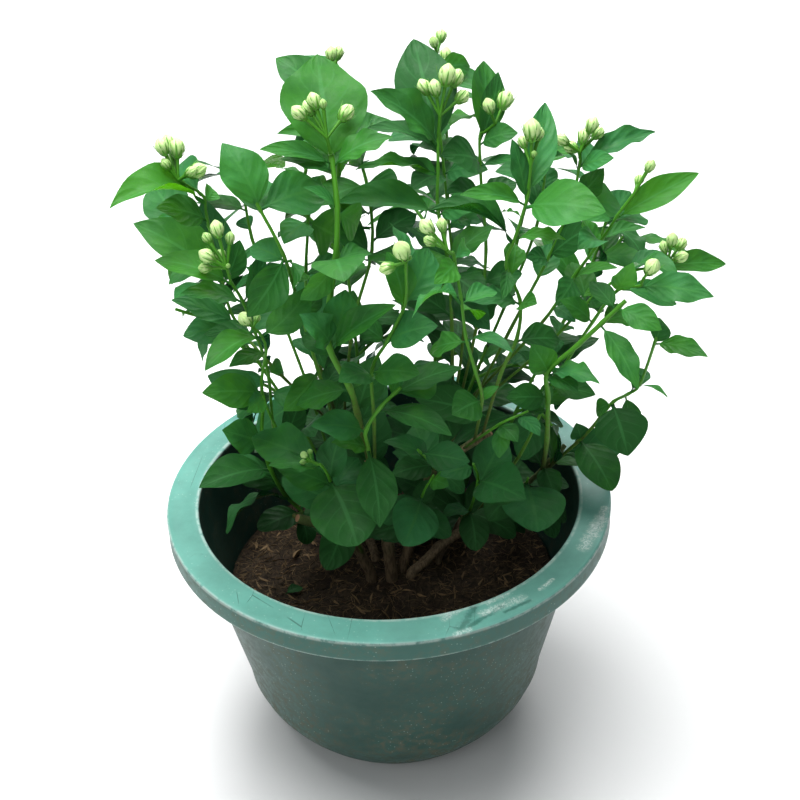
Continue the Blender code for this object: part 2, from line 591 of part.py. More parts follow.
def smooth_path(points, parts):
    """A smooth curve through the points, with each span cut into equal parts."""
    guides = [2 * points[0] - points[1], *points, 2 * points[-1] - points[-2]]
    path = []
    for before, start, end, after in zip(guides, guides[1:], guides[2:], guides[3:]):
        for step in range(parts):
            t = step / parts
            bend = (2 * start + (end - before) * t + (2 * before - 5 * start + 4 * end - after) * t ** 2
                    + (3 * start - before - 3 * end + after) * t ** 3)
            path.append(bend / 2)
    return path + [points[-1]]


def turned_to(vector, axis, angle):
    """The vector rotated about a unit axis."""
    cosine = math.cos(angle)
    sine = math.sin(angle)
    return vector * cosine + np.cross(axis, vector) * sine + axis * axis.dot(vector) * (1 - cosine)


class Blade:
    """A leaf blade in space: its root, its chord from root to tip, and the way its upper side faces."""

    def __init__(self, name, root, chord, face, long, wide, arch, drawn=True):
        self.name = name
        self.drawn = drawn
        self.root = root
        self.chord = chord
        self.face = face
        self.long = long
        self.wide = wide
        self.arch = arch
        self.folded = drawn and long >= LARGE_LEAF
        self.tilt = 0.0

    def tip_over(self, angle):
        """Swing the blade about its root, away from the eye for a positive angle."""
        angle = max(-CLEAR_LIMIT - self.tilt, min(CLEAR_LIMIT - self.tilt, angle))
        away = unit(self.root + self.chord * self.long - EYE)
        hinge = np.cross(self.chord, away)
        if np.linalg.norm(hinge) < LEAST_HINGE:
            hinge = np.cross(self.chord, self.face)
        hinge = unit(hinge)
        self.chord = turned_to(self.chord, hinge, angle)
        self.face = turned_to(self.face, hinge, angle)
        self.tilt += angle

    def rows(self):
        """Shares of the length at which the blade has a row of points, with the share of its width."""
        if self.folded:
            return LARGE_ROWS
        return SMALL_ROWS

    def columns(self, half):
        """The places across of a row's points: the edges, and the midrib too where the blade is folded."""
        return (-half, 0.0, half) if self.folded else (-half, half)

    def point(self, share, across):
        """A point of the blade's middle layer: share along it, and mm across from the midrib."""
        side = np.cross(self.face, self.chord)
        fold = FOLD if self.folded else 0.0
        bow = self.arch * 4 * share * (1 - share) + abs(across) * math.sin(fold)
        along = self.chord * self.long * share
        return self.root + along + side * across * math.cos(fold) + self.face * bow

    def outline(self):
        """Rows of points across the blade, from the petiole's root to the tip's one point."""
        petiole = self.columns(PETIOLE_WIDTH / 2)
        shares = (0.0, PETIOLE_SHARE) if self.long >= STALKED_LEAF and self.drawn else (0.0,)
        rows = [[self.point(share, across) for across in petiole] for share in shares]
        for share, width in self.rows():
            rows.append([self.point(share, across) for across in self.columns(self.wide * width / 2)])
        rows.append([self.point(1.0, 0.0)])
        return rows

    def shell(self, pad, first=0):
        """The blade's closed hull from a row on, as points and faces, thick by twice the pad."""
        rows = self.outline()[first:]
        points = []
        starts = []
        for row in rows:
            starts.append(len(points))
            for point in row:
                points.append(point + self.face * pad)
                points.append(point - self.face * pad)
        width = len(rows[0])
        faces = [(2 * column, 2 * column + 2, 2 * column + 3, 2 * column + 1) for column in range(width - 1)]
        for low, high, above in zip(starts, starts[1:], rows[1:]):
            narrow = len(above) == 1
            for column in range(width - 1):
                near = high if narrow else high + 2 * column
                far = high if narrow else near + 2
                faces.append((low + 2 * column, near, far, low + 2 * column + 2))
                faces.append((low + 2 * column + 1, low + 2 * column + 3, far + 1, near + 1))
            last = 2 * (width - 1)
            end = high if narrow else high + last
            faces.append((low, low + 1, high + 1, high))
            faces.append((low + last, end, end + 1, low + last + 1))
        return points, [tuple(dict.fromkeys(face)) for face in faces]

    def tree(self, first=0):
        """A search tree of the hull with clearance, from a row on."""
        points, faces = self.shell(CLEARANCE, first)
        return BVHTree.FromPolygons([Vector(point) for point in points], faces)

    def box(self):
        """The lowest and highest corners of the hull with clearance."""
        points = np.array([point for row in self.outline() for point in row])
        return points.min(axis=0) - CLEARANCE, points.max(axis=0) + CLEARANCE

    def reach(self):
        """How far ahead of the eye the blade's middle is."""
        return (self.point(BLADE_MIDDLE, 0.0) - EYE).dot(FORWARD)


def drawn_blade(name, leaf, root):
    """The blade of a drawn leaf, from its root to the place on its tip's ray at its true length."""
    scale = (root - EYE).dot(FORWARD) / DRAWN_RANGE
    long = leaf.long * scale
    along = ray(leaf.tip)
    reach = (root - EYE).dot(along)
    miss = np.linalg.norm(root - EYE - along * reach)
    slack = math.sqrt(max(long ** 2 - miss ** 2, 0.0))
    chord = unit(EYE + along * (reach + leaf.lean * slack) - root)
    toward = unit(EYE - root)
    face = unit(toward - chord * toward.dot(chord))
    side = np.cross(chord, face)
    guide = UP if abs(side.dot(UP)) > abs(side.dot(RIGHT)) else RIGHT
    angle = math.radians(leaf.turn)
    options = [turned_to(face, chord, angle), turned_to(face, chord, -angle)]
    return Blade(name, root, chord, max(options, key=guide.dot), long, leaf.wide * scale, leaf.arch)


def drawn_leaves(shoot, stem):
    """The blades of a shoot's leaves, which leave the stem one below the other at each mark."""
    counts = {}
    blades = []
    for leaf in shoot.leaves:
        rank = counts.get(leaf.joint, 0)
        counts[leaf.joint] = rank + 1
        root, _ = along_path(stem.path, stem.joints[leaf.joint], NODE_DROP + NODE_STEP * rank)
        blades.append(drawn_blade(shoot.name, leaf, root))
    return blades


def along_path(path, index, down):
    """The place and direction of a path a given length below one of its points."""
    while down > 0 and index > 0:
        span = np.linalg.norm(path[index] - path[index - 1])
        if span > down:
            direction = unit(path[index] - path[index - 1])
            return path[index] - direction * down, direction
        down -= span
        index -= 1
    low = max(index - 1, 0)
    return path[index], unit(path[low + 1] - path[low])


def side_seat(place, along, parent_radius, target, radius):
    """The start and heading of a stem that leaves another one's side, a gap clear of it."""
    out = target - place
    out = unit(out - along * out.dot(along))
    heading = unit(out + along * BRANCH_LEAN)
    return place + out * (parent_radius + radius * heading.dot(along) + GAP), heading


def tapered(path, thick):
    """The radius at every point of a path, from half the thickness at its foot to its taper."""
    last = len(path) - 1
    return [thick / 2 * (1 - (1 - STEM_TAPER) * step / last) for step in range(len(path))]


class Stem:
    """A stem in space: its path, its radii, its marks' places on the path and its side twigs."""

    def __init__(self, name, path, thick, joints):
        self.name = name
        self.path = path
        self.radii = tapered(path, thick)
        self.joints = joints
        self.twigs = []
        self.shifts = {}

    def joint(self, mark):
        """The point of the path at a mark."""
        return self.path[self.joints[mark]]

    def add_stubs(self, stubs):
        """Add cut side stubs, each from a mark to its end on the sheet, level in depth."""
        for mark, end in stubs:
            root = self.joint(mark)
            radius = self.radii[self.joints[mark]] * STUB_SHARE
            self.twigs.append(([root, at_range(end, (root - EYE).dot(FORWARD))], [radius, radius]))


def wood_stem(wood):
    """A woody stem, from its foot down in the soil to its cut end."""
    foot = at_height(wood.foot, SOIL_HEIGHT)
    marks = [foot] + [at_depth(mark[:2], mark[2]) for mark in wood.marks]
    deep = foot - np.array((0.0, 0.0, ROOT_DEPTH))
    path = [deep] + smooth_path(marks, WOOD_PARTS)
    path.append(path[-1] + unit(path[-1] - path[-2]) * CUT_END)
    stem = Stem(wood.name, path, wood.thick, [1 + WOOD_PARTS * mark for mark in range(len(marks))])
    stem.add_stubs(wood.stubs)
    return stem


def branch_path(place, along, parent_radius, marks, thick):
    """A path from its seat beside a parent stem, straight out for a heel, then through the marks."""
    seat, heading = side_seat(place, along, parent_radius, marks[0], thick / 2)
    return [seat] + smooth_path([seat + heading * HEEL] + marks, STEM_PARTS)


def stem_joints(count):
    """Where on its path a leafy stem's marks are."""
    return [1 + STEM_PARTS * (mark + 1) for mark in range(count)]


def green_stem(shoot, woods, rank):
    """A leafy stem, from its seat on the wood through its marks."""
    wood = woods[shoot.wood]
    marks = [on_crown(mark[:2], mark[2]) for mark in shoot.marks]
    place, along = along_path(wood.path, wood.joints[shoot.at], RANK_STEP * rank)
    path = branch_path(place, along, wood.radii[max(wood.joints[shoot.at] - 2, 0)], marks, shoot.thick)
    return Stem(shoot.name, path, shoot.thick, stem_joints(len(marks)))


def add_tip(stem, fork=None):
    """Let a stem end a little past its last mark, towards its bud cluster's fork if it has one."""
    end = stem.path[-1]
    long = TIP_STUB
    toward = unit(end - stem.path[-2])
    if fork is not None:
        toward = unit(fork - end)
        long = min(TIP_STUB, TIP_SHARE * np.linalg.norm(fork - end))
    stem.path.append(end + toward * long)
    stem.radii.append(stem.radii[-1])


def spread_stems(stems, woods):
    """Move leafy stems that run into one another or into wood apart, along the rays from the eye."""
    for _ in range(SPREAD_ROUNDS):
        samples = []
        for stem in stems + woods:
            spans = zip(stem.path, stem.path[1:], stem.radii)
            for index, (start, end, radius) in enumerate(spans):
                count = max(1, round(np.linalg.norm(end - start) / SPREAD_SAMPLE))
                samples += [(start + (end - start) * step / count, stem, index, radius)
                            for step in range(count)]
        search = KDTree(len(samples))
        for number, sample in enumerate(samples):
            search.insert(sample[0], number)
        search.balance()
        pushes = {}
        for place, stem, index, radius in samples:
            if stem in woods or index == 0:
                continue
            for _, number, distance in search.find_range(place, radius + SPREAD_REACH):
                spot, other, span, other_radius = samples[number]
                overlap = radius + other_radius + SPREAD_GAP - distance
                if other is stem or overlap <= 0 or (other in woods and index == 1):
                    continue
                order = -1 if (place - spot).dot(FORWARD) < 0 else 1
                for vertex in {max(index, 2), index + 1}:
                    pushes[stem, vertex] = pushes.get((stem, vertex), 0.0) + order * overlap
        if not pushes:
            return
        for (stem, vertex), push in pushes.items():
            if vertex < len(stem.path):
                before = stem.shifts.get(vertex, 0.0)
                shift = before + max(-SPREAD_STEP, min(SPREAD_STEP, push))
                shift = max(-SPREAD_LIMIT, min(SPREAD_LIMIT, shift))
                stem.shifts[vertex] = shift
                stem.path[vertex] = stem.path[vertex] + unit(stem.path[vertex] - EYE) * (shift - before)


def fork_place(cluster, stem):
    """Where a cluster's stalk forks, level in depth with its stem's last mark."""
    return at_range(cluster.fork, (stem.path[-1] - EYE).dot(FORWARD) - FORK_FORWARD)


def bud_places(cluster, fork):
    """The middle and width of every bud of a cluster, fanned out in depth by a rule."""
    places = []
    for number, (across, down, width) in enumerate(cluster.buds):
        spread = (number * 5 % 7 - 3) * BUD_SPREAD
        places.append((at_range((across, down), (fork - EYE).dot(FORWARD) + spread), width))
    return places


def back_bud_places(stem, draw):
    """The fork past a back stem's tip, and the middle and width of every bud round it."""
    growth = unit(stem.path[-1] - stem.path[-2])
    fork = stem.path[-1] + growth * TIP_STUB * 2
    side = unit(np.cross(growth, FORWARD))
    places = []
    for number in range(BACK_BUDS):
        lean = turned_to(side, growth, 2 * math.pi * number / BACK_BUDS) * BACK_BUD_LEAN
        places.append((fork + unit(growth + lean) * BACK_BUD_RISE, draw.uniform(*BACK_BUD_WIDTHS)))
    return fork, places


def drawn_in(root, end):
    """The end drawn back towards the root until it lies within the crown's drawn outline."""
    while not inside_outline(on_sheet(end)):
        end = root + (end - root) * DRAW_IN
    return end


def back_stem(number, woods):
    """A leafy stem of the crown's far side, with two side twigs."""
    turn = BACK_TURNS[0] + (BACK_TURNS[1] - BACK_TURNS[0]) * number / (len(BACK_SEATS) - 1)
    name, mark, drop = BACK_SEATS[number]
    wood = woods[name]
    top = BACK_TOP - BACK_SIDE_DROP * abs(math.cos(turn))
    place, along = along_path(wood.path, wood.joints[mark], drop)
    marks = []
    for rise, pull in zip(BACK_RISES, BACK_PULLS):
        height = place[2] + (top - place[2]) * rise
        end = crown_point(turn, height, BACK_REACH * BACK_STEM_SHARE)
        mark = place * (1 - pull) + end * pull
        mark[2] = height
        marks.append(drawn_in(place, mark))
    path = branch_path(place, along, wood.radii[wood.joints[2]], marks, BACK_THICK)
    return Stem(f"shoot_back_{number + 1}", path, BACK_THICK, stem_joints(len(marks)))


def add_twigs(stem, number):
    """Give a back stem its two side twigs."""
    turn = BACK_TURNS[0] + (BACK_TURNS[1] - BACK_TURNS[0]) * number / (len(BACK_SEATS) - 1)
    for mark, swing, height in BACK_TWIGS:
        root = stem.joint(mark)
        rise = height + TWIG_STEP * (number % 2)
        end = drawn_in(root, crown_point(turn + swing, rise, BACK_REACH))
        middle = (root + end) / 2 + np.array((0.0, 0.0, TWIG_BOW))
        stem.twigs.append(([root, middle, end], TWIG_RADII))


def back_leaves(stem, draw, obstacles):
    """A back stem's leaves in crossed pairs along the stem and its twigs, clear of all else."""
    spots = [(stem.path, stem.joints[mark], mark) for mark in range(1, len(stem.joints))]
    for number, (path, _) in enumerate(stem.twigs):
        spots += [(path, 1, number), (path, 2, number + 1)]
    blades = []
    for path, index, order in spots:
        for rank, sign in enumerate((-1, 1)):
            root, growth = along_path(path, index, NODE_DROP + NODE_STEP * rank)
            across = unit(np.cross(growth, np.array((0.0, 0.0, 1.0))))
            if order % 2:
                across = np.cross(growth, across)
            blade = back_blade(stem.name, root, growth, across * sign, draw, obstacles)
            if blade is not None:
                blades.append(blade)
                obstacles.append((f"{stem.name}_leaf", np.array(blade.box()), blade.tree()))
    return blades


def back_blade(name, root, growth, across, draw, obstacles):
    """A leaf of a back stem that keeps the see-through places open and crosses nothing, or none."""
    out = unit(np.array((root[0] - CROWN_X, root[1] - CROWN_Y, 0.0)))
    for attempt in range(BACK_TRIES):
        long = draw.uniform(*BACK_LONG) * (1 - BACK_SHRINK * attempt / BACK_TRIES)
        droop = np.array((0.0, 0.0, draw.uniform(*BACK_DROOP)))
        outward = out * draw.uniform(*BACK_OUTWARD)
        forward = growth * draw.uniform(*BACK_FORWARD)
        chord = unit(across + outward + forward + droop)
        up = out * draw.uniform(*BACK_FACING) + np.array((0.0, 0.0, 1.0))
        face = unit(up - chord * chord.dot(up))
        blade = Blade(name, root, chord, face, long, long * draw.uniform(*BACK_SLIMNESS), BACK_ARCH, False)
        if not fills_gap(blade) and not is_crossing(blade, obstacles):
            return blade
    return None


def is_crossing(blade, obstacles):
    """Whether a blade, but for its root, runs into another piece or another leaf."""
    tree = blade.tree()
    outer = blade.tree(1)
    for wall in near_boxes(np.array(blade.box()), np.array([box for _, box, _ in obstacles])):
        name, _, other = obstacles[wall]
        own = name.startswith(blade.name)
        if name != blade.name and (outer if own else tree).overlap(other):
            return True
    return False


def on_sheet(point):
    """The mark on the sheet where a point of space is seen."""
    along = (point - EYE) / (point - EYE).dot(FORWARD)
    return np.array((SHEET_CENTRE + VIEW_FOCAL * along.dot(RIGHT), SHEET_CENTRE - VIEW_FOCAL * along.dot(UP)))


def fills_gap(blade):
    """Whether a blade covers one of the crown's see-through places or stands out of its outline."""
    rows = blade.outline()
    spots = [on_sheet(point) for row in rows for point in row]
    middle = [on_sheet((row[0] + row[-1]) / 2) for row in rows]
    for across, down, radius in SEE_THROUGH:
        gap = np.array((across, down))
        if min(np.linalg.norm(spot - gap) for spot in spots + middle) < radius + SEE_THROUGH_MARGIN:
            return True
    return any(not inside_outline(spot) for spot in spots)


def inside_outline(spot):
    """Whether a place on the sheet lies within the crown's drawn outline."""
    inside = False
    for (ax, ay), (bx, by) in zip(CROWN_OUTLINE, CROWN_OUTLINE[1:] + CROWN_OUTLINE[:1]):
        if (ay > spot[1]) != (by > spot[1]) and spot[0] < ax + (spot[1] - ay) * (bx - ax) / (by - ay):
            inside = not inside
    return inside


def clear_crossings(blades, obstacles):
    """Swing crossing blades apart about their roots, the nearer one towards the eye."""
    trees = [blade.tree() for blade in blades]
    outer = [blade.tree(2) for blade in blades]
    boxes = np.array([blade.box() for blade in blades])
    walls = np.array([box for _, box, _ in obstacles])
    for _ in range(CLEAR_ROUNDS):
        pushes = [0.0] * len(blades)
        for first, blade in enumerate(blades):
            for second in near_boxes(boxes[first], boxes[first + 1:]) + first + 1:
                other = blades[second]
                same = blade.name == other.name
                hit = outer[first].overlap(outer[second]) if same else trees[first].overlap(trees[second])
                if hit:
                    order = 1 if blade.reach() <= other.reach() else -1
                    pushes[first] -= order
                    pushes[second] += order
            for wall in near_boxes(boxes[first], walls):
                name, _, tree = obstacles[wall]
                if name != blade.name and trees[first].overlap(tree):
                    pushes[first] += 2 if name.startswith("buds") else 2 * behind(blade, tree)
        if not any(pushes):
            return
        for number, push in enumerate(pushes):
            if push:
                blades[number].tip_over(CLEAR_STEP * max(-2.0, min(2.0, push)))
                trees[number] = blades[number].tree()
                outer[number] = blades[number].tree(2)
                boxes[number] = blades[number].box()


def near_boxes(box, boxes):
    """The numbers of the boxes that a box overlaps, each given by its lowest and highest corners."""
    meet = (box[0] <= boxes[:, 1]).all(axis=1) & (boxes[:, 0] <= box[1]).all(axis=1)
    return np.flatnonzero(meet)


def behind(blade, tree):
    """One where the obstacle stands between the eye and the blade's middle, else minus one."""
    middle = blade.point(BLADE_MIDDLE, 0.0)
    line = middle - EYE
    hit = tree.ray_cast(Vector(EYE), Vector(unit(line)), float(np.linalg.norm(line)))
    if hit[0] is not None:
        return 1
    nearest = np.array(tree.find_nearest(Vector(middle))[0])
    return 1 if (nearest - EYE).dot(FORWARD) < (middle - EYE).dot(FORWARD) else -1


def finish(name, colour, roughness):
    """A material with the piece's colour and roughness."""
    material = bpy.data.materials.new(name)
    material.use_nodes = True
    shader = material.node_tree.nodes["Principled BSDF"]
    shader.inputs["Base Color"].default_value = (*colour, 1.0)
    shader.inputs["Roughness"].default_value = roughness
    return material


def new_object(name, mesh, collection):
    """An object of a mesh, linked to a collection."""
    obj = bpy.data.objects.new(name, mesh)
    collection.objects.link(obj)
    return obj


def mesh_of(obj):
    """The evaluated mesh of an object, in its own frame."""
    graph = bpy.context.evaluated_depsgraph_get()
    return bpy.data.meshes.new_from_object(obj.evaluated_get(graph))


def weld(mesh):
    """Close a mesh's caps and point its faces out."""
    bm = bmesh.new()
    bm.from_mesh(mesh)
    bmesh.ops.remove_doubles(bm, verts=bm.verts, dist=MERGE * MM)
    bmesh.ops.recalc_face_normals(bm, faces=bm.faces)
    bm.to_mesh(mesh)
    bm.free()


def tube(name, path, radii, rounding, collection):
    """A closed tube along a path, from a curve with a bevel, as a mesh object."""
    curve = bpy.data.curves.new(name, "CURVE")
    curve.dimensions = "3D"
    curve.bevel_depth = MM
    curve.bevel_resolution = rounding
    curve.use_fill_caps = True
    spline = curve.splines.new("POLY")
    spline.points.add(len(path) - 1)
    for point, place, radius in zip(spline.points, path, radii):
        point.co = (*(place * MM), 1.0)
        point.radius = radius
    guide = new_object(f"{name}_line", curve, collection)
    mesh = mesh_of(guide)
    bpy.data.objects.remove(guide)
    bpy.data.curves.remove(curve)
    mesh.name = name
    weld(mesh)
    return new_object(name, mesh, collection)


def joined(obj, extras, operation="UNION", solver="EXACT"):
    """The object joined with, or cut by, the extras in one Boolean on their collection."""
    tools = bpy.data.collections.new(f"{obj.name}_tools")
    bpy.context.scene.collection.children.link(tools)
    for extra in extras:
        for owner in list(extra.users_collection):
            owner.objects.unlink(extra)
        tools.objects.link(extra)
    step = obj.modifiers.new("join", "BOOLEAN")
    step.operation = operation
    step.operand_type = "COLLECTION"
    step.collection = tools
    step.solver = solver
    mesh = mesh_of(obj)
    obj.modifiers.clear()
    obj.data = mesh
    for extra in extras:
        bpy.data.objects.remove(extra)
    bpy.data.collections.remove(tools)
    return obj


def tree_of(obj):
    """A search tree of a mesh object at the origin, in millimetres, with its box."""
    points = [vertex.co / MM for vertex in obj.data.vertices]
    faces = [tuple(polygon.vertices) for polygon in obj.data.polygons]
    corners = np.array([tuple(point) for point in points])
    return np.array((corners.min(axis=0), corners.max(axis=0))), BVHTree.FromPolygons(points, faces)


def body_radius(height):
    """The pot's outer radius at a height: a rounded haunch, then a straight flare to the rim."""
    if height < HAUNCH_HEIGHT:
        return FOOT_RADIUS + (HAUNCH_RADIUS - FOOT_RADIUS) * math.sin(math.pi / 2 * height / HAUNCH_HEIGHT)
    share = (height - HAUNCH_HEIGHT) / (POT_HEIGHT - LIP_DROP - HAUNCH_HEIGHT)
    return HAUNCH_RADIUS + (SHOULDER_RADIUS - HAUNCH_RADIUS) * share


def turned(name, profile, steps, collection):
    """A body turned about the upright axis from a profile of (radius, height)."""
    mesh = bpy.data.meshes.new(name)
    points = [(radius * MM, 0.0, height * MM) for radius, height in profile]
    mesh.from_pydata(points, [(step, step + 1) for step in range(len(points) - 1)], [])
    obj = new_object(name, mesh, collection)
    screw = obj.modifiers.new("turn", "SCREW")
    screw.steps = steps
    screw.render_steps = steps
    screw.use_merge_vertices = True
    screw.merge_threshold = AXIS_MERGE * MM
    turned_mesh = mesh_of(obj)
    obj.modifiers.clear()
    obj.data = turned_mesh
    weld(turned_mesh)
    return obj


def make_pot(collection):
    """The pot: round foot, haunch and flare, a flat rim with a turned-down lip, and a hollow inside."""
    under = POT_HEIGHT - RIM_THICKNESS
    lip = POT_HEIGHT - LIP_DROP
    skirt = RIM_RADIUS - RIM_THICKNESS
    heights = [HAUNCH_HEIGHT * share for share in HAUNCH_SHARES]
    profile = [(0.0, FLOOR)]
    profile += [(body_radius(height) - WALL, height) for height in [FLOOR] + heights]
    profile += [(MOUTH_RADIUS, lip), (MOUTH_RADIUS, POT_HEIGHT - RIM_EDGE)]
    profile += [(MOUTH_RADIUS + RIM_EDGE, POT_HEIGHT), (RIM_RADIUS - RIM_EDGE, POT_HEIGHT)]
    profile += [(RIM_RADIUS, POT_HEIGHT - RIM_EDGE), (RIM_RADIUS, lip), (skirt, lip), (skirt, under)]
    profile += [(body_radius(under), under)]
    profile += [(body_radius(height), height) for height in reversed(heights)]
    profile += [(FOOT_RADIUS, 0.0), (0.0, 0.0)]
    return turned("pot", profile, POT_STEPS, collection)


def soil_lump(x, y):
    """The unevenness of the soil's surface at a place, as a sum of a few waves."""
    wave = math.sin(x / SOIL_WAVE_X + SOIL_WAVE_START) * math.cos(y / SOIL_WAVE_Y)
    wave += SOIL_RIPPLE_SHARE * math.sin((x + y) / SOIL_RIPPLE)
    return SOIL_LUMP * wave


def make_soil(woods, collection):
    """The soil: it fills the pot up to its surface, uneven on top, with a plain hole for every stem."""
    low = FLOOR + GAP
    slack = WALL + SOIL_SIDE_GAP
    heights = [SOIL_HEIGHT - SOIL_EDGE_DROP] + [HAUNCH_HEIGHT * share for share in reversed(HAUNCH_SHARES)]
    profile = [(radius, SOIL_HEIGHT) for radius in SOIL_RINGS]
    profile += [(body_radius(height) - slack, height) for height in heights]
    profile += [(body_radius(low) - slack, low), (0.0, low)]
    soil = turned("soil", profile, POT_STEPS, collection)
    for vertex in soil.data.vertices:
        if vertex.co.z > (SOIL_HEIGHT - SOIL_TOP_BAND) * MM:
            vertex.co.z += soil_lump(vertex.co.x / MM, vertex.co.y / MM) * MM
    cutters = []
    for wood in woods.values():
        path = [wood.path[0] - np.array((0.0, 0.0, GAP))] + wood.path[1:3]
        radii = [radius + SOIL_HOLE_GAP for radius in wood.radii[:3]]
        cutters.append(tube(f"{wood.name}_hole", path, radii, WOOD_ROUNDING, collection))
    return joined(soil, cutters, "DIFFERENCE")


def make_stem(stem, rounding, blades, collection):
    """A stem with its side twigs and its leaves, fused in one body."""
    obj = tube(stem.name, stem.path, stem.radii, rounding, collection)
    extras = []
    for number, (path, radii) in enumerate(stem.twigs):
        extras.append(tube(f"{stem.name}_twig_{number + 1}", path, radii, rounding, collection))
    for number, blade in enumerate(blades):
        points, faces = blade.shell(BLADE_THICKNESS / 2)
        mesh = bpy.data.meshes.new(f"{stem.name}_leaf_{number + 1}")
        mesh.from_pydata([Vector(point * MM) for point in points], [], faces)
        weld(mesh)
        extras.append(new_object(mesh.name, mesh, collection))
    return joined(obj, extras) if extras else obj


def make_bud(name, fork, middle, width, collection):
    """A closed bud on its pedicel, turned in one from a profile: thin stalk, calyx, round bud, tip."""
    half = width / 2 * BUD_LONG
    rise = max(np.linalg.norm(middle - fork), half * BUD_LEAST_RISE)
    profile = [(0.0, rise + half), (width / 2, rise + half * BUD_GIRTH_RISE)]
    profile += [(width * BUD_NECK_WIDTH, rise - half * BUD_NECK_DROP)]
    profile += [(PEDICEL_RADIUS * BUD_FOOT_SHARE, rise - half), (PEDICEL_RADIUS, 0.0), (0.0, 0.0)]
    bud = turned(name, profile, BUD_SIDES, collection)
    turn = Vector(middle - fork).to_track_quat("Z", "Y")
    for vertex in bud.data.vertices:
        vertex.co = turn @ vertex.co + Vector(fork * MM)
    return bud


def make_cluster(name, stem, fork, places, collection):
    """A bud cluster: its stalk from the shoot's tip, its pedicels and its buds, fused in one body."""
    start = stem.path[-1] + unit(fork - stem.path[-1]) * GAP
    stalk = min(stem.radii[-1], STALK_RADIUS)
    past = fork + unit(fork - start) * stalk
    obj = tube(name, [start, past], [stalk, stalk], 0, collection)
    buds = []
    for number, (middle, width) in enumerate(places):
        buds.append(make_bud(f"{name}_{number + 1}", fork, middle, width, collection))
    return joined(obj, buds)


def main():
    """Model the pot, the soil, the woody stems, the leafy stems and the bud clusters."""
    for obj in list(bpy.data.objects):
        bpy.data.objects.remove(obj)
    parts = bpy.data.collections.new("potted_arabian_jasmine")
    bpy.context.scene.collection.children.link(parts)

    woods = {wood.name: wood_stem(wood) for wood in WOOD}
    ranks = {}
    stems = []
    for shoot in SHOOTS:
        rank = ranks.setdefault((shoot.wood, shoot.at), 0)
        ranks[shoot.wood, shoot.at] += 1
        stems.append(green_stem(shoot, woods, rank))
    back_stems = [back_stem(number, woods) for number in range(len(BACK_SEATS))]
    spread_stems(stems + back_stems, list(woods.values()))
    forks = {}
    for cluster in CLUSTERS:
        stem = next(stem for stem in stems if stem.name == cluster.shoot)
        forks[cluster.shoot] = fork_place(cluster, stem)
    blades = []
    for shoot, stem in zip(SHOOTS, stems):
        stem.add_stubs(shoot.stubs)
        add_tip(stem, forks.get(stem.name))
        blades += drawn_leaves(shoot, stem)
    for number, stem in enumerate(back_stems):
        add_tip(stem)
        add_twigs(stem, number)
    stems += back_stems

    made = {"pot": make_pot(parts), "soil": make_soil(woods, parts)}
    for wood in woods.values():
        made[wood.name] = make_stem(wood, WOOD_ROUNDING, [], parts)
    for stem in stems:
        made[stem.name] = make_stem(stem, 0, [], parts)
    by_name = {stem.name: stem for stem in stems}
    for cluster in CLUSTERS:
        fork = forks[cluster.shoot]
        places = bud_places(cluster, fork)
        made[cluster.name] = make_cluster(cluster.name, by_name[cluster.shoot], fork, places, parts)
    draw = random.Random(BACK_SEED)
    fork, places = back_bud_places(back_stems[2], draw)
    made["buds_back"] = make_cluster("buds_back", back_stems[2], fork, places, parts)
    obstacles = [(name, *tree_of(obj)) for name, obj in made.items()]
    clear_crossings(blades, obstacles)
    obstacles += [(f"{blade.name}_leaf", np.array(blade.box()), blade.tree()) for blade in blades]
    for stem in back_stems:
        blades += back_leaves(stem, draw, obstacles)

    for stem in stems:
        bpy.data.objects.remove(made[stem.name])
        own = [blade for blade in blades if blade.name == stem.name]
        made[stem.name] = make_stem(stem, 0, own, parts)

    finishes = {
        "pot": finish("green_plastic", POT_COLOUR, POT_ROUGHNESS),
        "soil": finish("potting_soil", SOIL_COLOUR, SOIL_ROUGHNESS),
        "wood": finish("bark", BARK_COLOUR, BARK_ROUGHNESS),
        "shoot": finish("leaf", LEAF_COLOUR, LEAF_ROUGHNESS),
        "buds": finish("bud", BUD_COLOUR, BUD_ROUGHNESS),
    }
    for name, obj in made.items():
        obj.data.materials.clear()
        obj.data.materials.append(finishes[name.split("_")[0]])
        obj.data.shade_smooth()
        obj.data.set_sharp_from_angle(angle=SHARP_ANGLE)


main()
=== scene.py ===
"""Potted arabian jasmine: the dressed model with its floor, light and camera.

Lengths are in millimetres and become metres when a mesh is made. +Z is up, +X is to the right and +Y
is away from the front, as in the solid model that this script dresses.
"""

import logging
import math
import random
from collections.abc import Callable, Sequence
from dataclasses import dataclass, field
from enum import Enum

import bmesh
import bpy
import numpy as np
from mathutils import Matrix, Quaternion, Vector, noise
from mathutils.kdtree import KDTree


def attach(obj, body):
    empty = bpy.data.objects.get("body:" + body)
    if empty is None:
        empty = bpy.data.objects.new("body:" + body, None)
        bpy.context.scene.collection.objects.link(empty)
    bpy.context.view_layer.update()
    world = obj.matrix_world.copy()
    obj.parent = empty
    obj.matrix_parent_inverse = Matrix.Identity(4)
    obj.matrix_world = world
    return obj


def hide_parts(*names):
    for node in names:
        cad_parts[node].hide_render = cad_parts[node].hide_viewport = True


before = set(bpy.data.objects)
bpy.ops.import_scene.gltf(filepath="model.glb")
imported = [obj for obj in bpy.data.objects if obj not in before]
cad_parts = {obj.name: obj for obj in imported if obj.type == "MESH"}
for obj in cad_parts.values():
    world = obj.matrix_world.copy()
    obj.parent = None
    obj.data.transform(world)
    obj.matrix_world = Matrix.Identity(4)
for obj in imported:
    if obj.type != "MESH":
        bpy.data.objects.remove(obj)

log = logging.getLogger("jasmine")

MM = 0.001

Place = np.ndarray
Colour = tuple[float, float, float]
Mark = tuple[float, float]


def unit(vector: Place) -> Place:
    """The vector scaled to length one."""
    return vector / np.linalg.norm(vector)


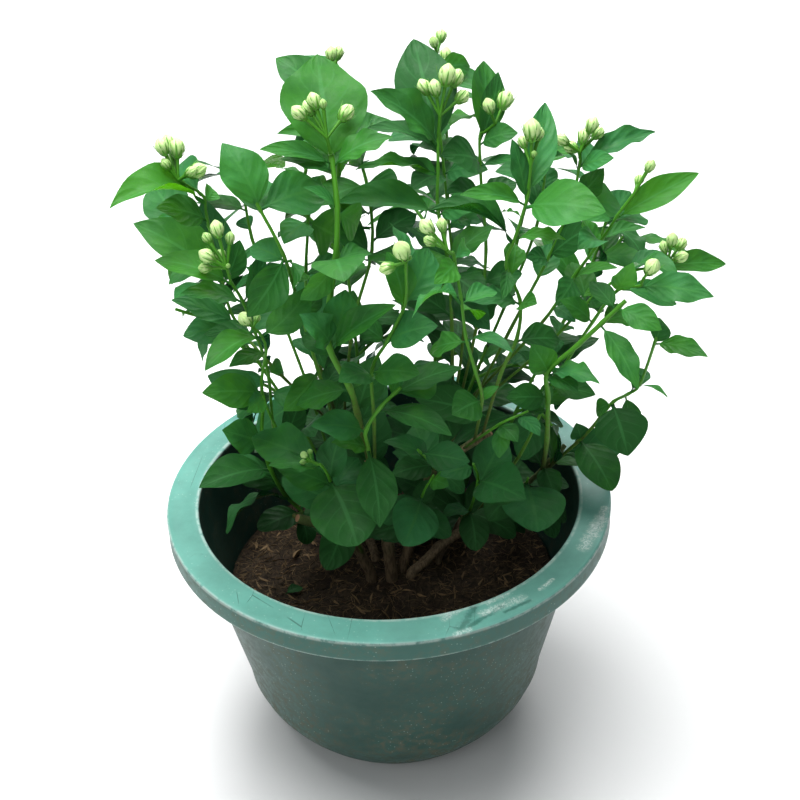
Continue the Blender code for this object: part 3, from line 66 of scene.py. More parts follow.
def smooth_path(points: Sequence[Place], parts: int) -> list[Place]:
    """A smooth curve through the points.

    Args:
        points: The places that the curve passes through.
        parts: How many equal parts each span is cut into.

    Returns:
        The curve's points, the given ones among them.
    """
    guides = [2 * points[0] - points[1], *points, 2 * points[-1] - points[-2]]
    path = []
    for before, start, end, after in zip(guides, guides[1:], guides[2:], guides[3:]):
        for step in range(parts):
            t = step / parts
            bend = (2 * start + (end - before) * t + (2 * before - 5 * start + 4 * end - after) * t ** 2
                    + (3 * start - before - 3 * end + after) * t ** 3)
            path.append(bend / 2)
    return path + [points[-1]]


def turned_to(vector: Place, axis: Place, angle: float) -> Place:
    """The vector rotated about a unit axis by an angle in radians."""
    cosine = math.cos(angle)
    return vector * cosine + np.cross(axis, vector) * math.sin(angle) + axis * axis.dot(vector) * (1 - cosine)


@dataclass(frozen=True)
class View:
    """The eye that the plant is drawn and shown from: focal length and marks in sheet units of 1/800."""

    focal: float = 1400.0
    reach: float = 850.0
    pitch: float = math.radians(33.6)
    roll: float = math.radians(-1.9)
    aim: tuple[float, float, float] = (9.0, 0.0, 243.0)
    centre: float = 400.0

    @property
    def forward(self) -> Place:
        """The way that the eye looks."""
        return np.array((0.0, math.cos(self.pitch), -math.sin(self.pitch)))

    @property
    def right(self) -> Place:
        """The sheet's direction across."""
        steep = np.cross((1.0, 0.0, 0.0), self.forward)
        return np.array((math.cos(self.roll), 0.0, 0.0)) + steep * math.sin(self.roll)

    @property
    def up(self) -> Place:
        """The sheet's direction up."""
        steep = np.cross((1.0, 0.0, 0.0), self.forward)
        return steep * math.cos(self.roll) - np.array((math.sin(self.roll), 0.0, 0.0))

    @property
    def eye(self) -> Place:
        """The eye's place."""
        return np.array(self.aim) - self.forward * self.reach

    def ray(self, mark: Mark) -> Place:
        """The unit direction from the eye through a mark on the sheet."""
        across = (mark[0] - self.centre) / self.focal
        down = (mark[1] - self.centre) / self.focal
        return unit(self.forward + self.right * across - self.up * down)

    def at_height(self, mark: Mark, height: float) -> Place:
        """The point of a mark's ray at a height above the ground."""
        along = self.ray(mark)
        return self.eye + along * (height - self.eye[2]) / along[2]

    def at_depth(self, mark: Mark, depth: float) -> Place:
        """The point of a mark's ray at a depth behind the pot's axis."""
        along = self.ray(mark)
        return self.eye + along * (depth - self.eye[1]) / along[1]

    def at_range(self, mark: Mark, reach: float) -> Place:
        """The point of a mark's ray at a distance from the eye, measured straight ahead."""
        along = self.ray(mark)
        return self.eye + along * reach / along.dot(self.forward)

    def ahead(self, point: Place) -> float:
        """How far ahead of the eye a point is."""
        return float((point - self.eye).dot(self.forward))

    def on_sheet(self, point: Place) -> Place:
        """The mark on the sheet where a point is seen."""
        along = (point - self.eye) / self.ahead(point)
        across = self.centre + self.focal * along.dot(self.right)
        return np.array((across, self.centre - self.focal * along.dot(self.up)))


VIEW = View()


@dataclass(frozen=True)
class Crown:
    """The crown's egg-shaped envelope, widest at its girth."""

    x: float = 10.0
    y: float = 4.0
    girth: float = 340.0
    half_width: float = 178.0
    half_depth: float = 132.0
    dome: float = 138.0
    drop: float = 235.0
    flare: float = 1.3
    near: float = 500.0
    far: float = 1000.0

    def swell(self, height: Place) -> Place:
        """The crown's width at heights, as a share of its width at the girth."""
        dome = np.sqrt(np.clip(1 - ((height - self.girth) / self.dome) ** 2, 0, 1))
        vase = 1 - np.clip((self.girth - height) / self.drop, 0, 1) ** self.flare
        return np.where(height > self.girth, dome, vase)

    def front(self, mark: Mark, back: float) -> Place:
        """The point of a mark's ray on the crown's front, moved back along the ray."""
        along = VIEW.ray(mark)
        points = VIEW.eye + np.outer(np.arange(self.near, self.far, 1.0), along)
        across = (points[:, 0] - self.x) / self.half_width
        depth = (points[:, 1] - self.y) / self.half_depth
        beyond = np.hypot(across, depth) - self.swell(points[:, 2])
        inside = np.flatnonzero(beyond < 0)
        first = inside[0] if len(inside) else np.argmin(beyond)
        return points[first] + along * back

    def point(self, turn: float, height: float, share: float) -> Place:
        """A point of the crown by its turn about the upright axis, its height and its share of the width."""
        swell = share * float(self.swell(np.array(height)))
        return np.array((self.x + self.half_width * swell * math.cos(turn),
                         self.y + self.half_depth * swell * math.sin(turn), height))


CROWN = Crown()

# The crown's drawn outline on the sheet
CROWN_OUTLINE = (
    (118, 205), (150, 178), (162, 140), (180, 145), (222, 145), (275, 165), (258, 148), (276, 55),
    (340, 48), (366, 110), (395, 66), (440, 28), (484, 62), (512, 100), (548, 98), (600, 118),
    (654, 134), (640, 160), (698, 174), (640, 232), (680, 236), (728, 244), (712, 300), (664, 318),
    (708, 358), (640, 390), (646, 430), (620, 486), (571, 470), (565, 545), (300, 545), (205, 480),
    (245, 420), (203, 390), (206, 368), (184, 330), (170, 300), (160, 262), (132, 225),
)


@dataclass(frozen=True)
class Wood:
    """A woody stem: its foot, marks (across, down, depth behind the pot's axis), thickness and cut stubs."""

    name: str
    foot: Mark
    marks: tuple[tuple[float, float, float], ...]
    thick: float
    stubs: tuple[tuple[int, Mark], ...] = ()


@dataclass(frozen=True)
class Shoot:
    """A leafy stem: the wood and mark it grows from, thickness, marks (across, down, depth in the crown)."""

    name: str
    wood: str
    at: int
    thick: float
    marks: tuple[tuple[float, float, float], ...]


@dataclass(frozen=True)
class Cluster:
    """A bud cluster: the shoot that carries it, where its stalk forks, and (across, down, width) of buds."""

    name: str
    shoot: str
    fork: Mark
    buds: tuple[tuple[float, float, float], ...]


WOOD = (
    Wood("wood_left", (372, 580), ((356, 545, -14), (332, 529, -20), (304, 520, -26)), 7.5),
    Wood("wood_middle", (392, 580), ((388, 545, -10), (380, 508, -6), (371, 466, -4)), 8.4,
         ((2, (386, 480)),)),
    Wood("wood_centre", (402, 572), ((412, 532, 0), (424, 492, -14), (438, 466, -18), (484, 436, -18)), 6.4,
         ((3, (454, 434)),)),
    Wood("wood_right", (410, 578), ((440, 546, 2), (468, 527, 8), (526, 487, 14), (551, 462, 16)), 7.0,
         ((4, (565, 445)),)),
    Wood("wood_thin", (438, 562), ((462, 518, 16), (476, 496, 20)), 4.4),
    Wood("wood_back_left", (376, 560), ((362, 515, 34), (345, 455, 56), (338, 420, 66)), 6.4),
    Wood("wood_back_right", (408, 556), ((428, 505, 36), (448, 450, 56), (458, 408, 66)), 6.8),
)

SHOOTS = (
    Shoot("shoot_left_base", "wood_left", 3, 4.4,
          ((302, 512, 52), (285, 495, 46), (270, 468, 42), (262, 440, 54), (263, 405, 56))),
    Shoot("shoot_front_left", "wood_left", 1, 3.2, ((344, 518, 30), (330, 480, 16), (322, 466, 6))),
    Shoot("shoot_centre", "wood_centre", 3, 3.0, ((430, 462, 30), (420, 452, 24))),
    Shoot("shoot_front_low", "wood_centre", 1, 2.6, ((422, 496, 22), (432, 478, 20))),
    Shoot("shoot_low_right", "wood_thin", 1, 3.0, ((470, 510, 34), (478, 480, 28), (474, 466, 24))),
    Shoot("shoot_pot_right", "wood_right", 3, 2.6, ((528, 478, 30), (526, 484, 18))),
    Shoot("shoot_right_low", "wood_right", 4, 3.4,
          ((582, 438, 38), (600, 418, 34), (613, 402, 32), (628, 394, 34), (640, 384, 30), (655, 342, 26))),
    Shoot("shoot_right_tall", "wood_right", 4, 4.6,
          ((547, 440, 40), (548, 396, 36), (548, 372, 30), (578, 345, 22), (603, 322, 14), (620, 306, 10))),
    Shoot("shoot_right_tip", "wood_right", 2, 3.0,
          ((520, 455, 62), (556, 380, 60), (594, 320, 44), (618, 290, 30), (640, 286, 14))),
    Shoot("shoot_right_upper", "wood_back_right", 3, 3.0,
          ((536, 330, 90), (575, 275, 66), (603, 238, 40), (617, 216, 26))),
    Shoot("shoot_right_side", "wood_back_right", 3, 3.0,
          ((540, 352, 86), (590, 300, 72), (630, 272, 60), (660, 268, 50))),
    Shoot("shoot_right_back", "wood_back_right", 2, 3.0,
          ((510, 330, 112), (550, 255, 96), (572, 200, 76), (580, 162, 60))),
    Shoot("shoot_right_inner", "wood_centre", 4, 3.2,
          ((500, 376, 40), (517, 338, 42), (520, 300, 44), (506, 266, 40), (516, 236, 34), (528, 196, 26))),
    Shoot("shoot_long", "wood_centre", 4, 3.0,
          ((482, 400, 22), (475, 370, 16), (466, 337, 10), (461, 298, 6), (454, 256, 2))),
    Shoot("shoot_centre_right", "wood_centre", 4, 2.8, ((500, 424, 24), (522, 414, 20))),
    Shoot("shoot_centre_left", "wood_middle", 3, 5.6,
          ((357, 412, 40), (350, 388, 38), (328, 344, 30), (330, 300, 42), (336, 257, 26), (337, 206, 24),
           (332, 160, 22))),
    Shoot("shoot_left_inner", "wood_back_left", 2, 3.2,
          ((318, 370, 66), (300, 310, 52), (284, 256, 24), (258, 206, 12))),
    Shoot("shoot_left_wall", "wood_back_left", 3, 3.0,
          ((310, 330, 90), (306, 270, 70), (308, 218, 50), (302, 186, 40))),
    Shoot("shoot_left_crest", "wood_back_left", 3, 2.8,
          ((278, 372, 82), (236, 322, 80), (222, 280, 62), (207, 218, 30), (204, 197, 18), (188, 186, 8))),
    Shoot("shoot_left_mid", "wood_left", 3, 3.0,
          ((290, 470, 66), (274, 430, 64), (268, 372, 58), (254, 330, 50), (242, 300, 28), (231, 282, 12))),
    Shoot("shoot_left_low", "wood_left", 2, 3.0,
          ((300, 478, 70), (282, 440, 66), (262, 392, 54), (266, 350, 36), (260, 334, 26))),
    Shoot("shoot_inner", "wood_middle", 3, 3.2,
          ((374, 420, 50), (372, 370, 44), (388, 340, 34), (405, 304, 24), (406, 270, 12))),
    Shoot("shoot_middle", "wood_middle", 3, 4.0, ((368, 448, 34), (366, 430, 30), (380, 408, 32), (396, 392, 36))),
    Shoot("shoot_top_middle", "wood_back_right", 3, 3.4,
          ((452, 330, 100), (448, 262, 84), (438, 210, 64), (438, 170, 56), (438, 142, 52))),
    Shoot("shoot_top_right", "wood_back_right", 3, 3.0,
          ((478, 320, 124), (486, 250, 110), (482, 196, 92), (480, 160, 84), (480, 136, 80))),
    Shoot("shoot_top_back", "wood_back_right", 2, 2.8,
          ((464, 330, 140), (452, 250, 132), (444, 170, 120), (438, 110, 108), (436, 66, 100))),
    Shoot("shoot_top_left", "wood_back_left", 3, 3.0,
          ((352, 330, 110), (372, 250, 108), (366, 180, 104), (348, 134, 100), (330, 100, 96))),
)

CLUSTERS = (
    Cluster("buds_left_crest", "shoot_left_crest", (178, 180),
            ((162, 147, 7), (168, 143, 7), (177, 148, 8), (166, 164, 5), (173, 158, 5), (197, 171, 8),
             (191, 172, 5.5))),
    Cluster("buds_left_mid", "shoot_left_mid", (227, 268),
            ((217, 229, 7), (207, 238, 5), (230, 238, 5), (207, 256, 7), (221, 255, 5.5), (205, 268, 5.5),
             (228, 266, 2.5))),
    Cluster("buds_left_low", "shoot_left_low", (253, 328), ((245, 319, 7), (257, 318, 4))),
    Cluster("buds_left_top", "shoot_centre_left", (327, 138),
            ((299, 113, 7), (309, 108, 7), (314, 101, 7), (323, 104, 4), (346, 113, 8))),
    Cluster("buds_far_left_top", "shoot_top_left", (331, 82), ((331, 54, 6.5), (338, 53, 6.5))),
    Cluster("buds_left_wall", "shoot_left_wall", (306, 170), ((310, 151, 6.5), (301, 158, 3))),
    Cluster("buds_front_left", "shoot_front_left", (311, 461), ((304, 455, 4), (310, 452, 3), (303, 462, 3))),
    Cluster("buds_top_back", "shoot_top_back", (437, 54), ((434, 42, 5.5), (441, 36, 6.5))),
    Cluster("buds_inner", "shoot_inner", (406, 262), ((402, 251, 9), (387, 268, 6.5), (409, 258, 2.5))),
    Cluster("buds_long", "shoot_long", (447, 250), ((427, 227, 7), (430, 241, 5.5), (442, 225, 5.5))),
    Cluster("buds_top_middle", "shoot_top_middle", (440, 116),
            ((447, 75, 9), (456, 78, 8), (424, 87, 7), (435, 88, 7), (462, 97, 7))),
    Cluster("buds_top_right", "shoot_top_right", (495, 124), ((489, 106, 7), (505, 100, 9))),
    Cluster("buds_right_inner", "shoot_right_inner", (531, 166),
            ((532, 130, 9), (523, 142, 5.5), (539, 134, 5.5), (534, 154, 3))),
    Cluster("buds_right_back", "shoot_right_back", (580, 152),
            ((562, 140, 6.5), (571, 147, 7), (584, 136, 7), (592, 125, 7), (598, 133, 6.5))),
    Cluster("buds_right_upper", "shoot_right_upper", (634, 194), ((650, 166, 5.5), (639, 180, 5))),
    Cluster("buds_right_side", "shoot_right_side", (668, 262),
            ((672, 240, 6.5), (681, 244, 6.5), (664, 247, 5.5), (681, 257, 6.5))),
    Cluster("buds_right_tip", "shoot_right_tip", (644, 278), ((652, 267, 8),)),
)


# The crown's see-through places on the sheet: across, down and radius
SEE_THROUGH = (
    (300, 250, 12), (255, 235, 8), (272, 225, 9), (366, 245, 12), (362, 287, 6), (382, 289, 9),
    (284, 332, 9), (282, 350, 7), (300, 372, 14), (240, 360, 8), (490, 252, 10), (496, 202, 9),
    (545, 220, 12), (532, 280, 9), (545, 300, 9), (510, 325, 12), (535, 312, 8), (592, 325, 10),
    (610, 282, 8), (595, 366, 14), (606, 394, 8), (627, 390, 7), (398, 352, 8), (380, 153, 6),
    (400, 172, 10), (463, 133, 8), (512, 125, 8), (505, 150, 8), (650, 350, 14), (580, 417, 10),
)


class Stem:
    """A stem in space: its path, its radii, its marks' places on the path and its side twigs."""

    taper = 0.76

    def __init__(self, name: str, path: list[Place], thick: float, joints: list[int]) -> None:
        """Lay the stem along a path, from half its thickness at the foot to its taper."""
        last = len(path) - 1
        self.name = name
        self.path = path
        self.radii = [thick / 2 * (1 - (1 - self.taper) * step / last) for step in range(len(path))]
        self.joints = joints
        self.twigs: list[tuple[list[Place], Sequence[float]]] = []
        self.shifts: dict[int, float] = {}

    def joint(self, mark: int) -> Place:
        """The point of the path at a mark."""
        return self.path[self.joints[mark]]

    def below(self, index: int, down: float) -> tuple[Place, Place]:
        """The place and direction of the path a length below one of its points."""
        path = self.path
        while down > 0 and index > 0:
            span = np.linalg.norm(path[index] - path[index - 1])
            if span > down:
                direction = unit(path[index] - path[index - 1])
                return path[index] - direction * down, direction
            down -= span
            index -= 1
        low = max(index - 1, 0)
        return path[index], unit(path[low + 1] - path[low])


@dataclass
class Growth:
    """The plant's plan: woody stems, leafy stems, the far side's stems and the bud clusters."""

    soil_height: float = 107.0
    root_depth: float = 38.0
    cut_end: float = 5.0
    stub_share: float = 0.62
    tip_stub: float = 4.0
    tip_share: float = 0.4
    heel: float = 5.0
    branch_lean: float = 0.6
    rank_step: float = 6.5
    seat_gap: float = 0.3
    fork_forward: float = 7.0
    bud_spread: float = 1.8
    spread_rounds: int = 80
    spread_sample: float = 2.0
    spread_gap: float = 0.7
    spread_reach: float = 5.0
    spread_step: float = 1.2
    spread_limit: float = 12.0
    back_seed: int = 11
    back_turns: tuple[float, float] = (math.radians(8.0), math.radians(172.0))
    back_seats: tuple[tuple[str, int, float], ...] = (
        ("wood_right", 3, 14.0), ("wood_back_right", 2, 14.0), ("wood_back_right", 2, 22.0),
        ("wood_back_left", 2, 14.0), ("wood_left", 3, 18.0), ("wood_left", 2, 9.0))
    back_top: float = 425.0
    back_side_drop: float = 75.0
    back_rises: tuple[float, ...] = (0.13, 0.35, 0.58, 0.8, 1.0)
    back_pulls: tuple[float, ...] = (0.46, 0.66, 0.82, 0.93, 1.0)
    back_twigs: tuple[tuple[int, float, float], ...] = ((1, -0.30, 225.0), (2, 0.26, 325.0))
    back_reach: float = 0.86
    back_stem_share: float = 0.8
    back_thick: float = 3.4
    twig_radii: tuple[float, ...] = (1.1, 1.1, 0.95)
    twig_bow: float = 8.0
    twig_step: float = 12.0
    back_buds: int = 3
    back_bud_widths: tuple[float, float] = (5.5, 7.5)
    back_bud_rise: float = 13.0
    back_bud_lean: float = 0.55
    draw_in: float = 0.9
    woods: dict[str, Stem] = field(default_factory=dict)
    stems: dict[str, Stem] = field(default_factory=dict)
    forks: dict[str, Place] = field(default_factory=dict)
    buds: dict[str, list[tuple[Place, float]]] = field(default_factory=dict)
    carriers: dict[str, str] = field(default_factory=dict)

    def grow(self) -> None:
        """Lay out every stem and bud as the solid model has them."""
        self.woods = {wood.name: self.wood_stem(wood) for wood in WOOD}
        ranks: dict[tuple[str, int], int] = {}
        green = []
        for shoot in SHOOTS:
            rank = ranks.setdefault((shoot.wood, shoot.at), 0)
            ranks[shoot.wood, shoot.at] += 1
            green.append(self.green_stem(shoot, rank))
        back = [self.back_stem(number) for number in range(len(self.back_seats))]
        self.spread(green + back, list(self.woods.values()))
        self.stems = {stem.name: stem for stem in green + back}
        for cluster in CLUSTERS:
            stem = self.stems[cluster.shoot]
            reach = VIEW.ahead(stem.path[-1]) - self.fork_forward
            self.forks[cluster.name] = VIEW.at_range(cluster.fork, reach)
            self.carriers[cluster.name] = cluster.shoot
            self.add_tip(stem, self.forks[cluster.name])
            self.buds[cluster.name] = self.bud_places(cluster, self.forks[cluster.name])
        for stem in green:
            if stem.name not in self.carriers.values():
                self.add_tip(stem, None)
        for number, stem in enumerate(back):
            self.add_tip(stem, None)
            self.add_twigs(stem, number)
        self.add_back_buds(back[len(back) // 2 - 1])

    def wood_stem(self, wood: Wood) -> Stem:
        """A woody stem, from its foot down in the soil to its cut end, with its cut side stubs."""
        foot = VIEW.at_height(wood.foot, self.soil_height)
        marks = [foot] + [VIEW.at_depth(mark[:2], mark[2]) for mark in wood.marks]
        path = [foot - np.array((0.0, 0.0, self.root_depth))] + smooth_path(marks, 2)
        path.append(path[-1] + unit(path[-1] - path[-2]) * self.cut_end)
        stem = Stem(wood.name, path, wood.thick, [1 + 2 * mark for mark in range(len(marks))])
        for mark, end in wood.stubs:
            root = stem.joint(mark)
            radius = stem.radii[stem.joints[mark]] * self.stub_share
            stem.twigs.append(([root, VIEW.at_range(end, VIEW.ahead(root))], [radius, radius]))
        return stem

    def branch(self, place: Place, along: Place, parent: float, marks: list[Place], thick: float) -> list[Place]:
        """A path from its seat beside a parent stem, straight out for a heel, then through the marks."""
        out = marks[0] - place
        out = unit(out - along * out.dot(along))
        heading = unit(out + along * self.branch_lean)
        seat = place + out * (parent + thick / 2 * heading.dot(along) + self.seat_gap)
        return [seat, seat + heading * self.heel] + marks

    def green_stem(self, shoot: Shoot, rank: int) -> Stem:
        """A leafy stem, from its seat on the wood through its marks."""
        wood = self.woods[shoot.wood]
        marks = [CROWN.front(mark[:2], mark[2]) for mark in shoot.marks]
        place, along = wood.below(wood.joints[shoot.at], self.rank_step * rank)
        parent = wood.radii[max(wood.joints[shoot.at] - 2, 0)]
        path = self.branch(place, along, parent, marks, shoot.thick)
        return Stem(shoot.name, path, shoot.thick, list(range(2, 2 + len(marks))))

    def back_turn(self, number: int) -> float:
        """The turn about the upright axis of one of the far side's stems."""
        first, last = self.back_turns
        return first + (last - first) * number / (len(self.back_seats) - 1)

    def back_stem(self, number: int) -> Stem:
        """A leafy stem of the crown's far side."""
        turn = self.back_turn(number)
        name, mark, drop = self.back_seats[number]
        wood = self.woods[name]
        top = self.back_top - self.back_side_drop * abs(math.cos(turn))
        place, along = wood.below(wood.joints[mark], drop)
        marks = []
        for rise, pull in zip(self.back_rises, self.back_pulls):
            height = place[2] + (top - place[2]) * rise
            end = CROWN.point(turn, height, self.back_reach * self.back_stem_share)
            spot = place * (1 - pull) + end * pull
            spot[2] = height
            marks.append(self.drawn_in(place, spot))
        path = self.branch(place, along, wood.radii[wood.joints[2]], marks, self.back_thick)
        return Stem(f"shoot_back_{number + 1}", path, self.back_thick, list(range(2, 2 + len(marks))))

    def drawn_in(self, root: Place, end: Place) -> Place:
        """The end drawn back towards the root until it lies within the crown's drawn outline."""
        while not self.inside_outline(VIEW.on_sheet(end)):
            end = root + (end - root) * self.draw_in
        return end

    @staticmethod
    def inside_outline(spot: Place) -> bool:
        """Whether a place on the sheet lies within the crown's drawn outline."""
        inside = False
        for (ax, ay), (bx, by) in zip(CROWN_OUTLINE, CROWN_OUTLINE[1:] + CROWN_OUTLINE[:1]):
            if (ay > spot[1]) != (by > spot[1]) and spot[0] < ax + (spot[1] - ay) * (bx - ax) / (by - ay):
                inside = not inside
        return inside

    def spread(self, stems: list[Stem], woods: list[Stem]) -> None:
        """Move leafy stems that run into one another or into wood apart, along the rays from the eye."""
        for _ in range(self.spread_rounds):
            pushes = self.pushes(stems, woods)
            if not pushes:
                return
            for (stem, vertex), push in pushes.items():
                if vertex < len(stem.path):
                    before = stem.shifts.get(vertex, 0.0)
                    shift = before + max(-self.spread_step, min(self.spread_step, push))
                    shift = max(-self.spread_limit, min(self.spread_limit, shift))
                    stem.shifts[vertex] = shift
                    ray = unit(stem.path[vertex] - VIEW.eye)
                    stem.path[vertex] = stem.path[vertex] + ray * (shift - before)

    def pushes(self, stems: list[Stem], woods: list[Stem]) -> dict[tuple[Stem, int], float]:
        """How far each vertex of the leafy stems is to move, to clear other stems."""
        samples = []
        for stem in stems + woods:
            for index, (start, end, radius) in enumerate(zip(stem.path, stem.path[1:], stem.radii)):
                count = max(1, round(np.linalg.norm(end - start) / self.spread_sample))
                samples += [(start + (end - start) * step / count, stem, index, radius)
                            for step in range(count)]
        search = KDTree(len(samples))
        for number, sample in enumerate(samples):
            search.insert(sample[0], number)
        search.balance()
        pushes: dict[tuple[Stem, int], float] = {}
        for place, stem, index, radius in samples:
            if stem in woods or index == 0:
                continue
            for _, number, distance in search.find_range(place, radius + self.spread_reach):
                spot, other, _, other_radius = samples[number]
                overlap = radius + other_radius + self.spread_gap - distance
                if other is stem or overlap <= 0 or (other in woods and index == 1):
                    continue
                order = -1 if (place - spot).dot(VIEW.forward) < 0 else 1
                for vertex in {max(index, 2), index + 1}:
                    pushes[stem, vertex] = pushes.get((stem, vertex), 0.0) + order * overlap
        return pushes

    def add_tip(self, stem: Stem, fork: Place | None) -> None:
        """Let a stem end a little past its last mark, towards its bud cluster's fork if it has one."""
        end = stem.path[-1]
        long = self.tip_stub
        toward = unit(end - stem.path[-2])
        if fork is not None:
            toward = unit(fork - end)
            long = min(self.tip_stub, self.tip_share * np.linalg.norm(fork - end))
        stem.path.append(end + toward * long)
        stem.radii.append(stem.radii[-1])

    def bud_places(self, cluster: Cluster, fork: Place) -> list[tuple[Place, float]]:
        """The middle and width of every bud of a cluster, fanned out in depth by a rule."""
        places = []
        for number, (across, down, width) in enumerate(cluster.buds):
            spread = (number * 5 % 7 - 3) * self.bud_spread
            places.append((VIEW.at_range((across, down), VIEW.ahead(fork) + spread), width))
        return places

    def add_twigs(self, stem: Stem, number: int) -> None:
        """Give a back stem its side twigs."""
        for mark, swing, height in self.back_twigs:
            root = stem.joint(mark)
            rise = height + self.twig_step * (number % 2)
            end = self.drawn_in(root, CROWN.point(self.back_turn(number) + swing, rise, self.back_reach))
            middle = (root + end) / 2 + np.array((0.0, 0.0, self.twig_bow))
            stem.twigs.append(([root, middle, end], self.twig_radii))

    def add_back_buds(self, stem: Stem) -> None:
        """The bud cluster of the far side, round the growth of one of its stems."""
        draw = random.Random(self.back_seed)
        growth = unit(stem.path[-1] - stem.path[-2])
        fork = stem.path[-1] + growth * self.tip_stub * 2
        side = unit(np.cross(growth, VIEW.forward))
        places = []
        for number in range(self.back_buds):
            lean = turned_to(side, growth, 2 * math.pi * number / self.back_buds) * self.back_bud_lean
            middle = fork + unit(growth + lean) * self.back_bud_rise
            places.append((middle, draw.uniform(*self.back_bud_widths)))
        self.forks["buds_back"] = fork
        self.buds["buds_back"] = places
        self.carriers["buds_back"] = stem.name


@dataclass
class Blade:
    """A leaf blade in space: root, tip, the way its upper side faces, width, bow and whether folded."""

    root: Place
    tip: Place
    face: Place
    wide: float
    arch: float
    folded: bool

    @property
    def long(self) -> float:
        """The blade's length with its petiole."""
        return float(np.linalg.norm(self.tip - self.root))

    def pose(self) -> Quaternion:
        """The turn that takes a flat leaf along +X, facing +Z, to the blade's attitude."""
        chord = unit(self.tip - self.root)
        face = unit(self.face - chord * chord.dot(self.face))
        side = np.cross(face, chord)
        return Matrix(np.column_stack((chord, side, face)).tolist()).to_quaternion()


@dataclass(frozen=True)
class RimPattern:
    """How a solid blade's last two rows before the tip lie: shares along it, widths and bows."""

    near: float
    far: float
    near_width: float
    far_width: float
    fold: float

    def bow(self, share: float) -> float:
        """The bow of the midrib at a share of the length, as a multiple of the arch."""
        return 4 * share * (1 - share)


@dataclass
class LeafFinder:
    """Finds the leaf blades of a shoot's solid by their rims, one blade's thickness high."""

    thickness: float = 0.8
    slack: float = 0.012
    smallest: float = 2.5
    patterns: tuple[RimPattern, ...] = (
        RimPattern(0.40, 0.74, 0.94, 0.84, 0.0), RimPattern(0.58, 0.83, 1.0, 0.62, math.radians(16.0)))

    def find(self, node: str) -> list[Blade]:
        """The blades of a node.

        Args:
            node: The shoot's name in the solid model.

        Returns:
            One blade for each tip whose rim follows one of the patterns.
        """
        shell = bmesh.new()
        shell.from_mesh(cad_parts[node].data)
        bmesh.ops.remove_doubles(shell, verts=shell.verts, dist=0.002 * MM)
        shell.verts.index_update()
        points = np.array([tuple(vertex.co) for vertex in shell.verts]) / MM
        edges = [(edge.verts[0].index, edge.verts[1].index) for edge in shell.edges]
        shell.free()
        posts = [edge for edge in edges
                 if abs(np.linalg.norm(points[edge[0]] - points[edge[1]]) - self.thickness) < self.slack]
        middles = np.array([(points[low] + points[high]) / 2 for low, high in posts])
        rises = np.array([unit(points[low] - points[high]) for low, high in posts])
        owner: dict[int, list[int]] = {}
        for number, post in enumerate(posts):
            for vertex in post:
                owner.setdefault(vertex, []).append(number)
        links: dict[int, set[int]] = {number: set() for number in range(len(posts))}
        for low, high in edges:
            for first in owner.get(low, ()):
                for second in owner.get(high, ()):
                    if first != second and abs(rises[first].dot(rises[second])) > 0.9995:
                        links[first].add(second)
                        links[second].add(first)
        blades = [self.blade_at(tip, middles, rises[tip], links) for tip in links]
        return [blade for blade in blades if blade is not None]

    def blade_at(self, tip: int, middles: Place, rise: Place, links: dict[int, set[int]]) -> Blade | None:
        """The blade whose tip is a given rim post, or none where the rim doesn't fit a pattern."""
        for left in links[tip]:
            for right in links[tip]:
                if left >= right or np.linalg.norm(middles[left] - middles[right]) < self.smallest:
                    continue
                for low in links[left] - {tip, right}:
                    for high in links[right] - {tip, left}:
                        if low != high:
                            blade = self.fitted(middles[[tip, left, right, low, high]], rise)
                            if blade is not None:
                                return blade
        return None

    def fitted(self, rim: Place, rise: Place) -> Blade | None:
        """The blade through five rim points, from the tip down, if they follow a pattern."""
        tip, left, right, low, high = rim
        narrow = left - right
        broad = low - high
        across = unit(broad)
        if np.linalg.norm(np.cross(unit(narrow), across)) > 0.01 or narrow.dot(broad) < 0:
            return None
        for pattern in self.patterns:
            ratio = pattern.far_width / pattern.near_width
            if abs(np.linalg.norm(narrow) / np.linalg.norm(broad) - ratio) > 0.01:
                continue
            wide = np.linalg.norm(broad) / pattern.near_width / math.cos(pattern.fold)
            for face in (rise, -rise):
                lift = face * math.sin(pattern.fold) * wide / 2
                middle_far = (left + right) / 2 - tip * pattern.far - lift * pattern.far_width
                middle_near = (low + high) / 2 - tip * pattern.near - lift * pattern.near_width
                table = np.array(((1 - pattern.far, pattern.bow(pattern.far)),
                                  (1 - pattern.near, pattern.bow(pattern.near))))
                root, bow = np.linalg.solve(table, np.array((middle_far, middle_near)))
                chord = unit(tip - root)
                square = abs(chord.dot(across)) + abs(chord.dot(face))
                skew = np.linalg.norm(bow - face * bow.dot(face))
                if bow.dot(face) > 0.3 and square < 0.02 and skew < 0.1:
                    return Blade(root, tip, face, wide, float(bow.dot(face)), pattern.fold > 0)
        return None


class Room:
    """The space round the plant in small cubes, each free or taken."""

    cube = 1.5
    low = np.array((-190.0, -170.0, 90.0))
    count = np.array((270, 240, 270))

    def __init__(self) -> None:
        """Start with every cube free."""
        self.taken = np.zeros(self.count, dtype=bool)
        steps = np.arange(-1, 2)
        self.around = np.stack(np.meshgrid(steps, steps, steps), axis=-1).reshape(-1, 3)

    def cubes(self, points: Place) -> Place:
        """The cube that each point lies in."""
        return np.clip(((points - self.low) / self.cube).astype(int), 1, self.count - 2)

    def take(self, points: Place) -> None:
        """Take the cubes of the points and those next to them."""
        cubes = (self.cubes(points)[:, None] + self.around).reshape(-1, 3)
        self.taken[cubes[:, 0], cubes[:, 1], cubes[:, 2]] = True

    def is_free(self, points: Place) -> bool:
        """Whether no point lies in a cube that is taken."""
        cubes = self.cubes(points)
        return not self.taken[cubes[:, 0], cubes[:, 1], cubes[:, 2]].any()


